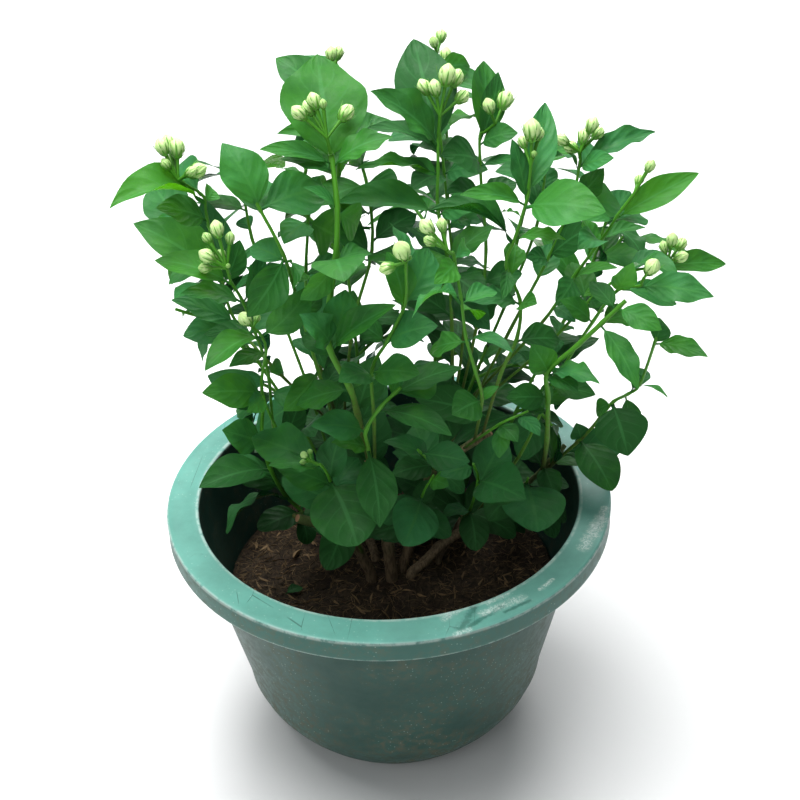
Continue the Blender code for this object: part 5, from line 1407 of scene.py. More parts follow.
@dataclass(frozen=True)
class LeafShape:
    """A leaf of length, width and bow one, along +X and facing +Z, with its chart.

    wave is the height of the margin's waves, cup lifts the margins, twist turns the tip and fold
    is how far the halves rise from the midrib, all as multiples of the bow.
    """

    kind: LeafKind
    tip: float = 0.45
    wave: float = 0.12
    cup: float = 0.15
    twist: float = 0.0
    fold: float = 0.25
    waves: float = 2.5
    swing: float = 0.0
    half_columns: int = 3
    petiole: float = 0.09
    stalk_width: float = 0.040
    stalk_depth: float = 0.16
    rows: tuple[float, ...] = (0.0, 0.04, 0.085, 0.11, 0.14, 0.18, 0.23, 0.29, 0.35, 0.41, 0.47, 0.53, 0.59,
                               0.65, 0.71, 0.77, 0.83, 0.89, 0.94, 0.975, 1.0)

    def half_width(self, share: float) -> float:
        """Half the blade's width at a share of its length."""
        if share <= self.petiole:
            return self.stalk_width
        t = (share - self.petiole) / (1 - self.petiole)
        outline = math.sin(math.pi * t ** 0.95) ** (0.56 + 0.45 * self.tip) if t < 1 else 0.0
        sharp = 1 - 0.6 * self.tip * max(0.0, (t - 0.45) / 0.55) ** 2
        return max(0.5 * outline * sharp, 0.004)

    def point(self, share: float, v: float) -> tuple[float, float, float]:
        """A point of the leaf: share along it, and v from -1 at one margin to 1 at the other."""
        half = self.half_width(share)
        bow = 4 * share * (1 - share)
        blend = min(1.0, max(0.0, (share - self.petiole) / 0.06))
        angle = math.pi * 0.9 * v
        tube = (self.stalk_width * math.sin(angle), -self.stalk_depth * (1 - math.cos(angle)))
        reach = min(1.0, share * 4) * (0.3 + 0.7 * share)
        off = 2 * v * half
        lift = self.fold * abs(off) + self.cup * off * off * (1.2 - share)
        ripple = math.sin(2 * math.pi * self.waves * share + (1.3 if v > 0 else 0.0))
        lift += self.wave * ripple * off * abs(v) * reach + self.twist * off * share
        side = self.swing * bow
        y = tube[0] * (1 - blend) + (v * half + side) * blend
        z = tube[1] * (1 - blend) + lift * blend
        return share, y, z + bow

    def make(self, home: bpy.types.Collection) -> bpy.types.Object:
        """The leaf as an object in the collection of shapes."""
        columns = [step / self.half_columns for step in range(-self.half_columns, self.half_columns + 1)]
        points = [self.point(share, v) for share in self.rows for v in columns]
        chart = [(share, 0.5 + v / 2) for share in self.rows for v in columns]
        width = len(columns)
        faces = []
        for row in range(len(self.rows) - 1):
            for column in range(width - 1):
                first = row * width + column
                faces.append((first, first + width, first + width + 1, first + 1))
        faces = [tuple(reversed(face)) for face in faces]
        mesh = bpy.data.meshes.new(f"leaf_{self.kind.value}_{self.kind.name.lower()}")
        mesh.from_pydata(points, [], faces)
        uv = mesh.uv_layers.new(name="leaf")
        for loop in mesh.loops:
            uv.data[loop.index].uv = chart[loop.vertex_index]
        mesh.shade_smooth()
        shape = bpy.data.objects.new(mesh.name, mesh)
        home.objects.link(shape)
        return shape


LEAF_SHAPES = (
    LeafShape(LeafKind.FLAT, 0.45, 0.14, 0.10, 0.0, 0.30),
    LeafShape(LeafKind.WAVY, 0.55, 0.55, 0.08, 0.2, 0.35, 3.0, 0.02),
    LeafShape(LeafKind.CUPPED, 0.40, 0.25, 0.70, 0.0, 0.25, 2.0),
    LeafShape(LeafKind.TWISTED, 0.50, 0.35, 0.15, 0.80, 0.30, 2.5, -0.03),
    LeafShape(LeafKind.FOLDED, 0.45, 0.25, 0.12, 0.0, 1.0, 2.0),
    LeafShape(LeafKind.FOLDED_WAVY, 0.55, 0.60, 0.10, 0.20, 0.9, 3.0, 0.02),
    LeafShape(LeafKind.BLUNT, 0.05, 0.12, 0.30, 0.0, 0.35, 2.0),
    LeafShape(LeafKind.BLUNT_WAVY, 0.0, 0.38, 0.15, 0.2, 0.30, 2.5, 0.02),
)


@dataclass(frozen=True)
class BudShape:
    """A closed bud of width one about its middle, along +Z, with wrapped petals and a calyx of thin lobes."""

    name: str
    half_long: float = 0.675
    sides: int = 15
    rows: tuple[tuple[float, float], ...] = (
        (-1.0, 0.0), (-0.96, 0.20), (-0.80, 0.40), (-0.55, 0.68), (-0.25, 0.91), (0.05, 1.0), (0.34, 0.93),
        (0.60, 0.72), (0.81, 0.43), (0.95, 0.17), (1.0, 0.0))
    petals: int = 5
    overlap: float = 0.07
    wrap: float = 0.9
    lobes: int = 8
    lobe_long: float = 1.10
    lobe_wide: float = 0.065
    cup_top: float = -0.50

    def make(self, home: bpy.types.Collection) -> bpy.types.Object:
        """The bud as an object in the collection of shapes."""
        shell = bmesh.new()
        chart = shell.loops.layers.uv.new("leaf")
        calyx = shell.faces.layers.float.new("calyx")
        self.body(shell, chart)
        self.cup(shell, chart, calyx)
        mesh = bpy.data.meshes.new(self.name)
        shell.to_mesh(mesh)
        shell.free()
        mesh.shade_smooth()
        shape = bpy.data.objects.new(self.name, mesh)
        home.objects.link(shape)
        return shape

    def body(self, shell: bmesh.types.BMesh, chart: bmesh.types.BMLayerItem) -> None:
        """The petals, wrapped round one another to a closed tip."""
        rings = []
        for height, width in self.rows:
            ring = []
            for side in range(self.sides if width else 1):
                turn = 2 * math.pi * side / self.sides
                seam = (turn * self.petals / (2 * math.pi) + self.wrap * height) % 1.0
                radius = width / 2 * (1 + self.overlap * (seam - 0.5))
                ring.append(shell.verts.new((radius * math.cos(turn), radius * math.sin(turn),
                                             height * self.half_long)))
            rings.append(ring)
        for row, (low, high) in enumerate(zip(rings, rings[1:])):
            for side in range(self.sides):
                after = (side + 1) % self.sides
                corners = [low[side % len(low)], low[after % len(low)], high[after % len(high)],
                           high[side % len(high)]]
                face = shell.faces.new(list(dict.fromkeys(corners)))
                for loop in face.loops:
                    share = (loop.vert.co.z / self.half_long + 1) / 2
                    across = side + (1 if loop.vert in (low[after % len(low)], high[after % len(high)]) else 0)
                    loop[chart].uv = (across / self.sides, share)

    def cup(self, shell: bmesh.types.BMesh, chart: bmesh.types.BMLayerItem,
            calyx: bmesh.types.BMLayerItem) -> None:
        """The calyx: a small cup at the foot and thin lobes that stand along the petals."""
        base = -self.half_long * 1.04
        for lobe in range(self.lobes):
            turn = 2 * math.pi * lobe / self.lobes
            out = Vector((math.cos(turn), math.sin(turn), 0.0))
            side = Vector((-out.y, out.x, 0.0))
            spread = 0.12 if lobe % 2 else 0.26
            spine = [(0.05, base, 0.5), (0.24, base + 0.10, 1.9), (0.36, base + 0.26, 1.0),
                     (0.42 + spread * 0.6, base + self.lobe_long * 0.72, 0.5),
                     (0.42 + spread, base + self.lobe_long, 0.08)]
            rows = []
            for radius, height, width in spine:
                middle = out * radius + Vector((0.0, 0.0, height))
                half = side * (self.lobe_wide * width)
                rows.append((shell.verts.new(middle - half), shell.verts.new(middle + out * 0.02),
                             shell.verts.new(middle + half)))
            for low, high in zip(rows, rows[1:]):
                for column in range(2):
                    face = shell.faces.new((low[column], low[column + 1], high[column + 1], high[column]))
                    face[calyx] = 1.0
                    for loop in face.loops:
                        loop[chart].uv = (0.5, 0.5)


@dataclass(frozen=True)
class FibreShape:
    """A bent coir fibre or crumb of length one, with few faces."""

    name: str
    bend: float
    thick: float = 0.035
    segments: int = 3

    def make(self, home: bpy.types.Collection) -> bpy.types.Object:
        """The fibre as an object in the collection of shapes."""
        shell = bmesh.new()
        rings = []
        for step in range(self.segments + 1):
            share = step / self.segments
            x = share - 0.5
            y = self.bend * math.sin(math.pi * share)
            z = self.bend * 0.5 * math.sin(2 * math.pi * share)
            half = self.thick * (0.4 + math.sin(math.pi * share))
            rings.append([shell.verts.new((x, y + half * math.cos(turn), z + half * math.sin(turn)))
                          for turn in (0.0, 2 * math.pi / 3, 4 * math.pi / 3)])
        for low, high in zip(rings, rings[1:]):
            for side in range(3):
                after = (side + 1) % 3
                shell.faces.new((low[side], low[after], high[after], high[side]))
        shell.faces.new(rings[0])
        shell.faces.new(rings[-1])
        bmesh.ops.recalc_face_normals(shell, faces=shell.faces)
        mesh = bpy.data.meshes.new(self.name)
        shell.to_mesh(mesh)
        shell.free()
        shape = bpy.data.objects.new(self.name, mesh)
        home.objects.link(shape)
        return shape


def shapes_collection(name: str) -> bpy.types.Collection:
    """A collection of shapes to be repeated, which isn't itself shown."""
    return bpy.data.collections.new(name)


class Tree:
    """A Geometry Nodes tree with named inputs, built step by step."""

    def __init__(self, name: str) -> None:
        """Start a tree with a Geometry input and output."""
        self.tree = bpy.data.node_groups.new(name, "GeometryNodeTree")
        self.tree.interface.new_socket("Geometry", in_out="INPUT", socket_type="NodeSocketGeometry")
        self.tree.interface.new_socket("Geometry", in_out="OUTPUT", socket_type="NodeSocketGeometry")
        self.inputs = self.tree.nodes.new("NodeGroupInput")
        self.output = self.tree.nodes.new("NodeGroupOutput")

    def input(self, name: str, kind: str, default: object = None) -> bpy.types.NodeSocket:
        """Add a named input, and give its socket inside the tree."""
        socket = self.tree.interface.new_socket(name, in_out="INPUT", socket_type=kind)
        if default is not None:
            socket.default_value = default
        return self.inputs.outputs[name]

    def node(self, kind: str, links: dict[str, object], **settings: object) -> bpy.types.Node:
        """Add a node with its settings and its inputs, linked or set by name."""
        node = self.tree.nodes.new(kind)
        for name, value in settings.items():
            setattr(node, name, value)
        for name, value in links.items():
            socket = next(socket for socket in node.inputs if socket.name == name and socket.enabled)
            if isinstance(value, bpy.types.NodeSocket):
                self.tree.links.new(value, socket)
            else:
                socket.default_value = value
        return node

    def named(self, name: str, kind: str) -> bpy.types.NodeSocket:
        """The value of a named attribute."""
        node = self.node("GeometryNodeInputNamedAttribute", {"Name": name}, data_type=kind)
        return next(socket for socket in node.outputs if socket.name == "Attribute" and socket.enabled)

    def end(self, geometry: bpy.types.NodeSocket) -> bpy.types.NodeTree:
        """Join the geometry to the output, and give the tree."""
        self.tree.links.new(geometry, self.output.inputs[0])
        return self.tree


def apply_tree(host: bpy.types.Object, tree: bpy.types.NodeTree, values: dict[str, object]) -> None:
    """Run a tree on a host object and keep its result as a plain mesh.

    Args:
        host: The object that carries the input geometry, and is given the result.
        tree: The Geometry Nodes tree.
        values: The values of the tree's inputs by name.
    """
    modifier = host.modifiers.new("grow", "NODES")
    modifier.node_group = tree
    for item in tree.interface.items_tree:
        if item.item_type == "SOCKET" and item.in_out == "INPUT" and item.name in values:
            modifier[item.identifier] = values[item.name]
    graph = bpy.context.evaluated_depsgraph_get()
    mesh = bpy.data.meshes.new_from_object(host.evaluated_get(graph))
    host.modifiers.clear()
    mesh.name = host.name
    host.data = mesh


def sprig_tree() -> bpy.types.NodeTree:
    """The tree of a sprig: round stems along the host's edges, and shapes on its marked points."""
    tree = Tree("sprig")
    sides = tree.input("Sides", "NodeSocketInt", 8)
    shapes = tree.input("Shapes", "NodeSocketCollection")
    stem_finish = tree.input("Stem finish", "NodeSocketMaterial")
    shape_finish = tree.input("Shape finish", "NodeSocketMaterial")
    host = tree.inputs.outputs["Geometry"]
    line = tree.node("GeometryNodeMeshToCurve", {"Mesh": host}).outputs[0]
    ring = tree.node("GeometryNodeCurvePrimitiveCircle", {"Resolution": sides, "Radius": 1.0}).outputs[0]
    tube = tree.node("GeometryNodeCurveToMesh", {"Curve": line, "Profile Curve": ring, "Fill Caps": True,
                                                 "Scale": tree.named("girth", "FLOAT")}).outputs[0]
    tube = tree.node("GeometryNodeSetShadeSmooth", {"Geometry": tube}).outputs[0]
    tube = tree.node("GeometryNodeSetMaterial", {"Geometry": tube, "Material": stem_finish}).outputs[0]
    pick = tree.node("GeometryNodeCollectionInfo", {"Collection": shapes, "Separate Children": True,
                                                    "Reset Children": True}).outputs[0]
    put = tree.node("GeometryNodeInstanceOnPoints", {
        "Points": host, "Selection": tree.named("shaped", "BOOLEAN"), "Instance": pick, "Pick Instance": True,
        "Instance Index": tree.named("kind", "INT"), "Rotation": tree.named("pose", "QUATERNION"),
        "Scale": tree.named("size", "FLOAT_VECTOR")}).outputs[0]
    put = tree.node("GeometryNodeRealizeInstances", {"Geometry": put}).outputs[0]
    put = tree.node("GeometryNodeSetMaterial", {"Geometry": put, "Material": shape_finish}).outputs[0]
    both = tree.node("GeometryNodeJoinGeometry", {})
    tree.tree.links.new(tube, both.inputs[0])
    tree.tree.links.new(put, both.inputs[0])
    return tree.end(both.outputs[0])


@dataclass
class Sprig:
    """The host points of a sprig: stems as joined points, and the places of its leaves or buds."""

    name: str
    points: list[Place] = field(default_factory=list)
    edges: list[tuple[int, int]] = field(default_factory=list)
    girths: list[float] = field(default_factory=list)
    ages: list[float] = field(default_factory=list)
    cuts: list[float] = field(default_factory=list)
    tones: list[float] = field(default_factory=list)
    kinds: list[int] = field(default_factory=list)
    poses: list[Quaternion] = field(default_factory=list)
    sizes: list[tuple[float, float, float]] = field(default_factory=list)
    shaped: list[bool] = field(default_factory=list)

    def add(self, point: Place, girth: float = 0.0, age: float = 0.0, cut: float = 0.0, tone: float = 0.0,
            kind: int = 0, pose: Quaternion | None = None,
            size: tuple[float, float, float] | None = None) -> None:
        """Add a point: a stem's if it has no pose, otherwise a shape's."""
        self.points.append(point)
        self.girths.append(girth * MM)
        self.ages.append(age)
        self.cuts.append(cut)
        self.tones.append(tone)
        self.kinds.append(kind)
        self.poses.append(pose or Quaternion())
        self.sizes.append(tuple(part * MM for part in size) if size else (1.0, 1.0, 1.0))
        self.shaped.append(pose is not None)

    def add_stem(self, path: Sequence[Place], radii: Sequence[float], ages: Sequence[float],
                 sawn: bool = False) -> None:
        """Add a stem along a path, with its end sawn off or not."""
        for step, (point, radius, age) in enumerate(zip(path, radii, ages)):
            if step:
                self.edges.append((len(self.points) - 1, len(self.points)))
            self.add(point, radius, age, 1.0 if sawn and step == len(path) - 1 else 0.0)

    def make(self, tree: bpy.types.NodeTree, shapes: bpy.types.Collection, stem_finish: bpy.types.Material,
             shape_finish: bpy.types.Material, sides: int = 8) -> bpy.types.Object:
        """The sprig's finished piece."""
        mesh = bpy.data.meshes.new(self.name)
        mesh.from_pydata([Vector(point * MM) for point in self.points], self.edges, [])
        # On leaf points, the attribute for a stem's age holds the leaf's amount of painted sheen.
        rows = (("girth", "FLOAT", self.girths), ("age", "FLOAT", self.ages), ("cut", "FLOAT", self.cuts),
                ("tone", "FLOAT", self.tones), ("kind", "INT", self.kinds), ("shaped", "BOOLEAN", self.shaped))
        for name, kind, values in rows:
            mesh.attributes.new(name, kind, "POINT").data.foreach_set("value", values)
        turns = [part for pose in self.poses for part in pose]
        mesh.attributes.new("pose", "QUATERNION", "POINT").data.foreach_set("value", turns)
        sizes = [part for size in self.sizes for part in size]
        mesh.attributes.new("size", "FLOAT_VECTOR", "POINT").data.foreach_set("vector", sizes)
        piece = bpy.data.objects.new(self.name, mesh)
        bpy.context.scene.collection.objects.link(piece)
        apply_tree(piece, tree, {"Sides": sides, "Shapes": shapes, "Stem finish": stem_finish,
                                 "Shape finish": shape_finish})
        return piece


def smoothed(path: list[Place], radii: Sequence[float], parts: int) -> tuple[list[Place], list[float]]:
    """A path and its radii with each span cut into parts along a smooth curve."""
    fine = smooth_path(path, parts)
    steps = np.linspace(0, len(path) - 1, len(fine))
    return fine, list(np.interp(steps, range(len(radii)), radii))


@dataclass
class Foliage:
    """The leafy shoots: fine round stems and full-grown leaves in the places of the solid ones."""

    growth: Growth
    finishes: Finishes
    tree: bpy.types.NodeTree
    shapes: bpy.types.Collection
    parts: int = 4
    node_swell: float = 1.22
    slimness: float = 0.66
    fold_arch: float = 3.0
    least_arch: float = 2.0
    small_leaf: float = 28.0
    blunt_below: float = 225.0
    low: float = 150.0
    high: float = 440.0

    def tone(self, blade: Blade, draw: random.Random) -> float:
        """How young and bright a leaf is, from 0 to 1: darker low down and deep in the crown, partly as older leaves
        and partly as painted shade.
        """
        middle = (blade.tip + blade.root) / 2
        rise = min(1.0, max(0.0, (middle[2] - self.low) / (self.high - self.low)))
        swell = max(0.2, float(CROWN.swell(np.array(middle[2]))))
        out = math.hypot((middle[0] - CROWN.x) / CROWN.half_width, (middle[1] - CROWN.y) / CROWN.half_depth)
        deep = max(0.0, 1.0 - out / swell)
        small = 0.12 if blade.long < self.small_leaf else 0.0
        # The tone mixes leaf age with painted shade: leaves low down and deep inside the crown get darker.
        return 0.06 + 0.66 * rise + small - 0.36 * deep + draw.uniform(-0.26, 0.26)

    def add_leaves(self, sprig: Sprig, blades: list[Blade], draw: random.Random) -> None:
        """Put leaves on a sprig, each of a drawn shape."""
        for blade in blades:
            kinds = (LeafKind.FOLDED, LeafKind.FOLDED_WAVY) if blade.folded else (
                LeafKind.FLAT, LeafKind.WAVY, LeafKind.CUPPED, LeafKind.TWISTED)
            if blade.tip[2] < self.blunt_below:
                kinds = (LeafKind.BLUNT, LeafKind.BLUNT_WAVY)
            kind = draw.choice(kinds)
            bow = max(blade.arch, self.fold_arch if blade.folded else self.least_arch)
            # Each leaf draws an amount of painted sheen, passed in the attribute that holds a stem's age.
            painted_sheen = max(0.0, draw.uniform(-0.5, 1.0))
            sprig.add(blade.root, age=painted_sheen, tone=self.tone(blade, draw), kind=kind.value, pose=blade.pose(),
                      size=(blade.long, blade.wide, bow))

    def make(self, stem: Stem, blades: list[Blade]) -> bpy.types.Object:
        """A shoot's piece, which stands for its solid."""
        sprig = Sprig(f"{stem.name}_leafy")
        path, radii = smoothed(stem.path, stem.radii, self.parts)
        radii = [radius * self.slimness for radius in radii]
        for index in stem.joints:
            radii[index * self.parts] *= self.node_swell
        ages = np.linspace(1.0, 0.0, len(path))
        sprig.add_stem(path, radii, ages)
        for twig, girths in stem.twigs:
            line, widths = smoothed(twig, girths, self.parts)
            sprig.add_stem(line, widths, np.linspace(0.5, 0.0, len(line)))
        self.add_leaves(sprig, blades, random.Random(stem.name))
        log.info("%s: %d leaves", stem.name, len(blades))
        return sprig.make(self.tree, self.shapes, self.finishes.shoot, self.finishes.leaf)

    def make_fill(self, name: str, blades: list[Blade]) -> bpy.types.Object:
        """A piece of fill leaves alone."""
        sprig = Sprig(name)
        self.add_leaves(sprig, blades, random.Random(name))
        log.info("%s: %d leaves", name, len(blades))
        return sprig.make(self.tree, self.shapes, self.finishes.shoot, self.finishes.leaf)


@dataclass
class BudClusters:
    """The bud clusters: stalk, thin pedicels and closed buds with their calyxes."""

    growth: Growth
    finishes: Finishes
    tree: bpy.types.NodeTree
    shapes: bpy.types.Collection
    stalk_radius: float = 1.0
    pedicel_radius: float = 0.75
    bud_long: float = 1.35
    small: float = 7.0

    def make(self, name: str) -> bpy.types.Object:
        """A cluster's piece, which stands for its solid."""
        fork = self.growth.forks[name]
        stem = self.growth.stems[self.growth.carriers[name]]
        start = stem.path[-1]
        radius = min(stem.radii[-1], self.stalk_radius)
        sprig = Sprig(f"{name}_cluster")
        sprig.add_stem([start, (start + fork) / 2, fork], [radius, radius * 0.9, radius * 0.95], (0.0, 0.0, 0.0))
        for middle, width in self.growth.buds[name]:
            half = width / 2 * self.bud_long
            rise = max(np.linalg.norm(middle - fork), half * 1.1)
            along = unit(middle - fork)
            foot = fork + along * (rise - half)
            line, widths = smoothed([fork, (fork + foot) / 2, foot], [self.pedicel_radius * 1.1,
                                    self.pedicel_radius, self.pedicel_radius * 1.4], 2)
            sprig.add_stem(line, widths, [0.0] * len(line))
            pose = Vector(along).to_track_quat("Z", "Y") @ Quaternion((0.0, 0.0, 1.0), float(middle[0]))
            tone = max(0.0, (self.small - width) / self.small * 1.6)
            sprig.add(fork + along * rise, tone=tone, kind=0, pose=pose, size=(width, width, width))
        return sprig.make(self.tree, self.shapes, self.finishes.shoot, self.finishes.bud, 6)


@dataclass
class WoodyStems:
    """The woody stems, with bark, swollen nodes and sawn ends."""

    growth: Growth
    finishes: Finishes
    tree: bpy.types.NodeTree
    shapes: bpy.types.Collection
    parts: int = 5
    sides: int = 14
    lump: float = 0.10
    knob: float = 1.15

    def make(self, stem: Stem) -> bpy.types.Object:
        """A woody stem's piece, which stands for its solid."""
        sprig = Sprig(f"{stem.name}_bark")
        path, radii = smoothed(stem.path, stem.radii, self.parts)
        for index in stem.joints[1:]:
            radii[index * self.parts] *= self.knob
        radii = [radius * (1 + self.lump * math.sin(step * 2.3) * math.sin(step * 0.7 + len(stem.name)))
                 for step, radius in enumerate(radii)]
        end = path[-1] - unit(path[-1] - path[-2]) * 0.4
        sprig.add_stem(path[:-1] + [end, path[-1]], radii[:-1] + [radii[-2], radii[-2] * 0.9],
                       [1.0] * (len(path) + 1), sawn=True)
        for twig, girths in stem.twigs:
            root, tip = twig
            along = unit(tip - root)
            line = [root, (root + tip) / 2, tip - along * 0.4, tip]
            sprig.add_stem(line, [girths[0] * 1.15, girths[0], girths[0], girths[0] * 0.9], [1.0] * 4, sawn=True)
        return sprig.make(self.tree, self.shapes, self.finishes.bark, self.finishes.bark, self.sides)


def new_piece(name: str, shell: bmesh.types.BMesh, material: bpy.types.Material) -> bpy.types.Object:
    """A piece of a mesh in the scene, smooth and with a material."""
    mesh = bpy.data.meshes.new(name)
    shell.to_mesh(mesh)
    shell.free()
    mesh.materials.append(material)
    mesh.shade_smooth()
    piece = bpy.data.objects.new(name, mesh)
    bpy.context.scene.collection.objects.link(piece)
    return piece


def lathe(profile: Sequence[tuple[float, float]], steps: int,
          shift: Callable[[float, float, float], Place] | None = None) -> bmesh.types.BMesh:
    """A body turned about the upright axis.

    Args:
        profile: Pairs of radius and height, the ends on the axis.
        steps: How many sides the body has.
        shift: Moves a point (x, y, z) to its uneven place.

    Returns:
        The closed mesh, in metres, facing out.
    """
    shell = bmesh.new()
    rings = []
    for radius, height in profile:
        ring = []
        for step in range(steps if radius > 0 else 1):
            turn = 2 * math.pi * step / steps
            point = (radius * math.cos(turn), radius * math.sin(turn), height)
            ring.append(shell.verts.new(Vector(shift(*point) if shift else point) * MM))
        rings.append(ring)
    for low, high in zip(rings, rings[1:]):
        for step in range(steps):
            after = (step + 1) % steps
            corners = [low[step % len(low)], low[after % len(low)], high[after % len(high)],
                       high[step % len(high)]]
            shell.faces.new(list(dict.fromkeys(corners)))
    bmesh.ops.recalc_face_normals(shell, faces=shell.faces)
    return shell


@dataclass(frozen=True)
class PotSizes:
    """The pot's main sizes."""

    height: float = 175.0
    rim: float = 140.0
    mouth: float = 120.0
    lip: float = 14.0
    wall: float = 4.0
    floor: float = 5.0
    shoulder: float = 124.0
    haunch: float = 100.0
    haunch_height: float = 54.0
    foot: float = 69.0
    thickness: float = 3.0
    edge: float = 1.4

    def radius(self, height: float) -> float:
        """The body's outer radius at a height: a rounded haunch, then a straight flare to the rim."""
        if height < self.haunch_height:
            swell = math.sin(math.pi / 2 * height / self.haunch_height)
            return self.foot + (self.haunch - self.foot) * swell
        share = (height - self.haunch_height) / (self.height - self.lip - self.haunch_height)
        return self.haunch + (self.shoulder - self.haunch) * share


@dataclass
class Pot:
    """The pot: round foot, haunch and flare, and a flat rim with a turned-down lip."""

    finishes: Finishes
    sizes: PotSizes = field(default_factory=PotSizes)
    steps: int = 144
    warp: float = 0.35

    def corner(self, x: float, z: float, radius: float, first: float, last: float) -> list[tuple[float, float]]:
        """A rounded corner of the profile about a middle, between two angles in degrees."""
        turns = [math.radians(first + (last - first) * step / 4) for step in range(5)]
        return [(x + radius * math.cos(turn), z + radius * math.sin(turn)) for turn in turns]

    def profile(self) -> list[tuple[float, float]]:
        """The pot's section, from the floor inside over the rim to the foot."""
        size = self.sizes
        edge = size.edge
        top = size.height
        lip = top - size.lip
        skirt = size.rim - size.thickness
        under = top - size.thickness
        inside = [size.floor, 12.0, 22.0, 34.0, 46.0, size.haunch_height, 75.0, 100.0, 130.0, lip - 4]
        line = [(0.0, size.floor), (30.0, size.floor)]
        line += [(size.radius(height) - size.wall, height) for height in inside]
        line += [(size.mouth, lip + 2)]
        line += self.corner(size.mouth + edge, top - edge, edge, 180, 90)
        line += [(size.mouth + 5, top - 0.15), ((size.mouth + size.rim) / 2, top - 0.35),
                 (size.rim - 5, top - 0.15)]
        line += self.corner(size.rim - edge, top - edge, edge, 90, 0)
        line += [(size.rim - 0.2, lip + 4)]
        line += self.corner(size.rim - 0.9, lip + 0.9, 0.9, 0, -90)
        line += self.corner(skirt + 0.6, lip + 0.6, 0.6, -90, -180)
        line += [(skirt, under - 1.0), (skirt - 1.0, under), (size.radius(under) + 1.5, under)]
        outside = [under - 1.5, lip, 130.0, 100.0, 75.0, size.haunch_height, 44.0, 34.0, 24.0, 15.0, 8.0, 3.0]
        line += [(size.radius(height), height) for height in outside]
        line += [(size.foot + 0.4, 0.8), (size.foot - 0.8, 0.0), (size.foot - 6, 0.0), (size.foot - 7.5, 1.5),
                 (20.0, 1.5), (0.0, 1.5)]
        return line

    def uneven(self, x: float, y: float, z: float) -> tuple[float, float, float]:
        """A point of the pot moved a little, as soft plastic warps."""
        turn = math.atan2(y, x)
        swell = self.warp * math.sin(2 * turn + 0.6) * z / self.sizes.height
        radius = math.hypot(x, y)
        if radius < 1:
            return x, y, z
        scale = (radius - abs(self.warp) * z / self.sizes.height + swell) / radius
        return x * scale, y * scale, z

    def make(self) -> bpy.types.Object:
        """The pot's piece, which stands for its solid."""
        return new_piece("pot_shell", lathe(self.profile(), self.steps, self.uneven), self.finishes.plastic)


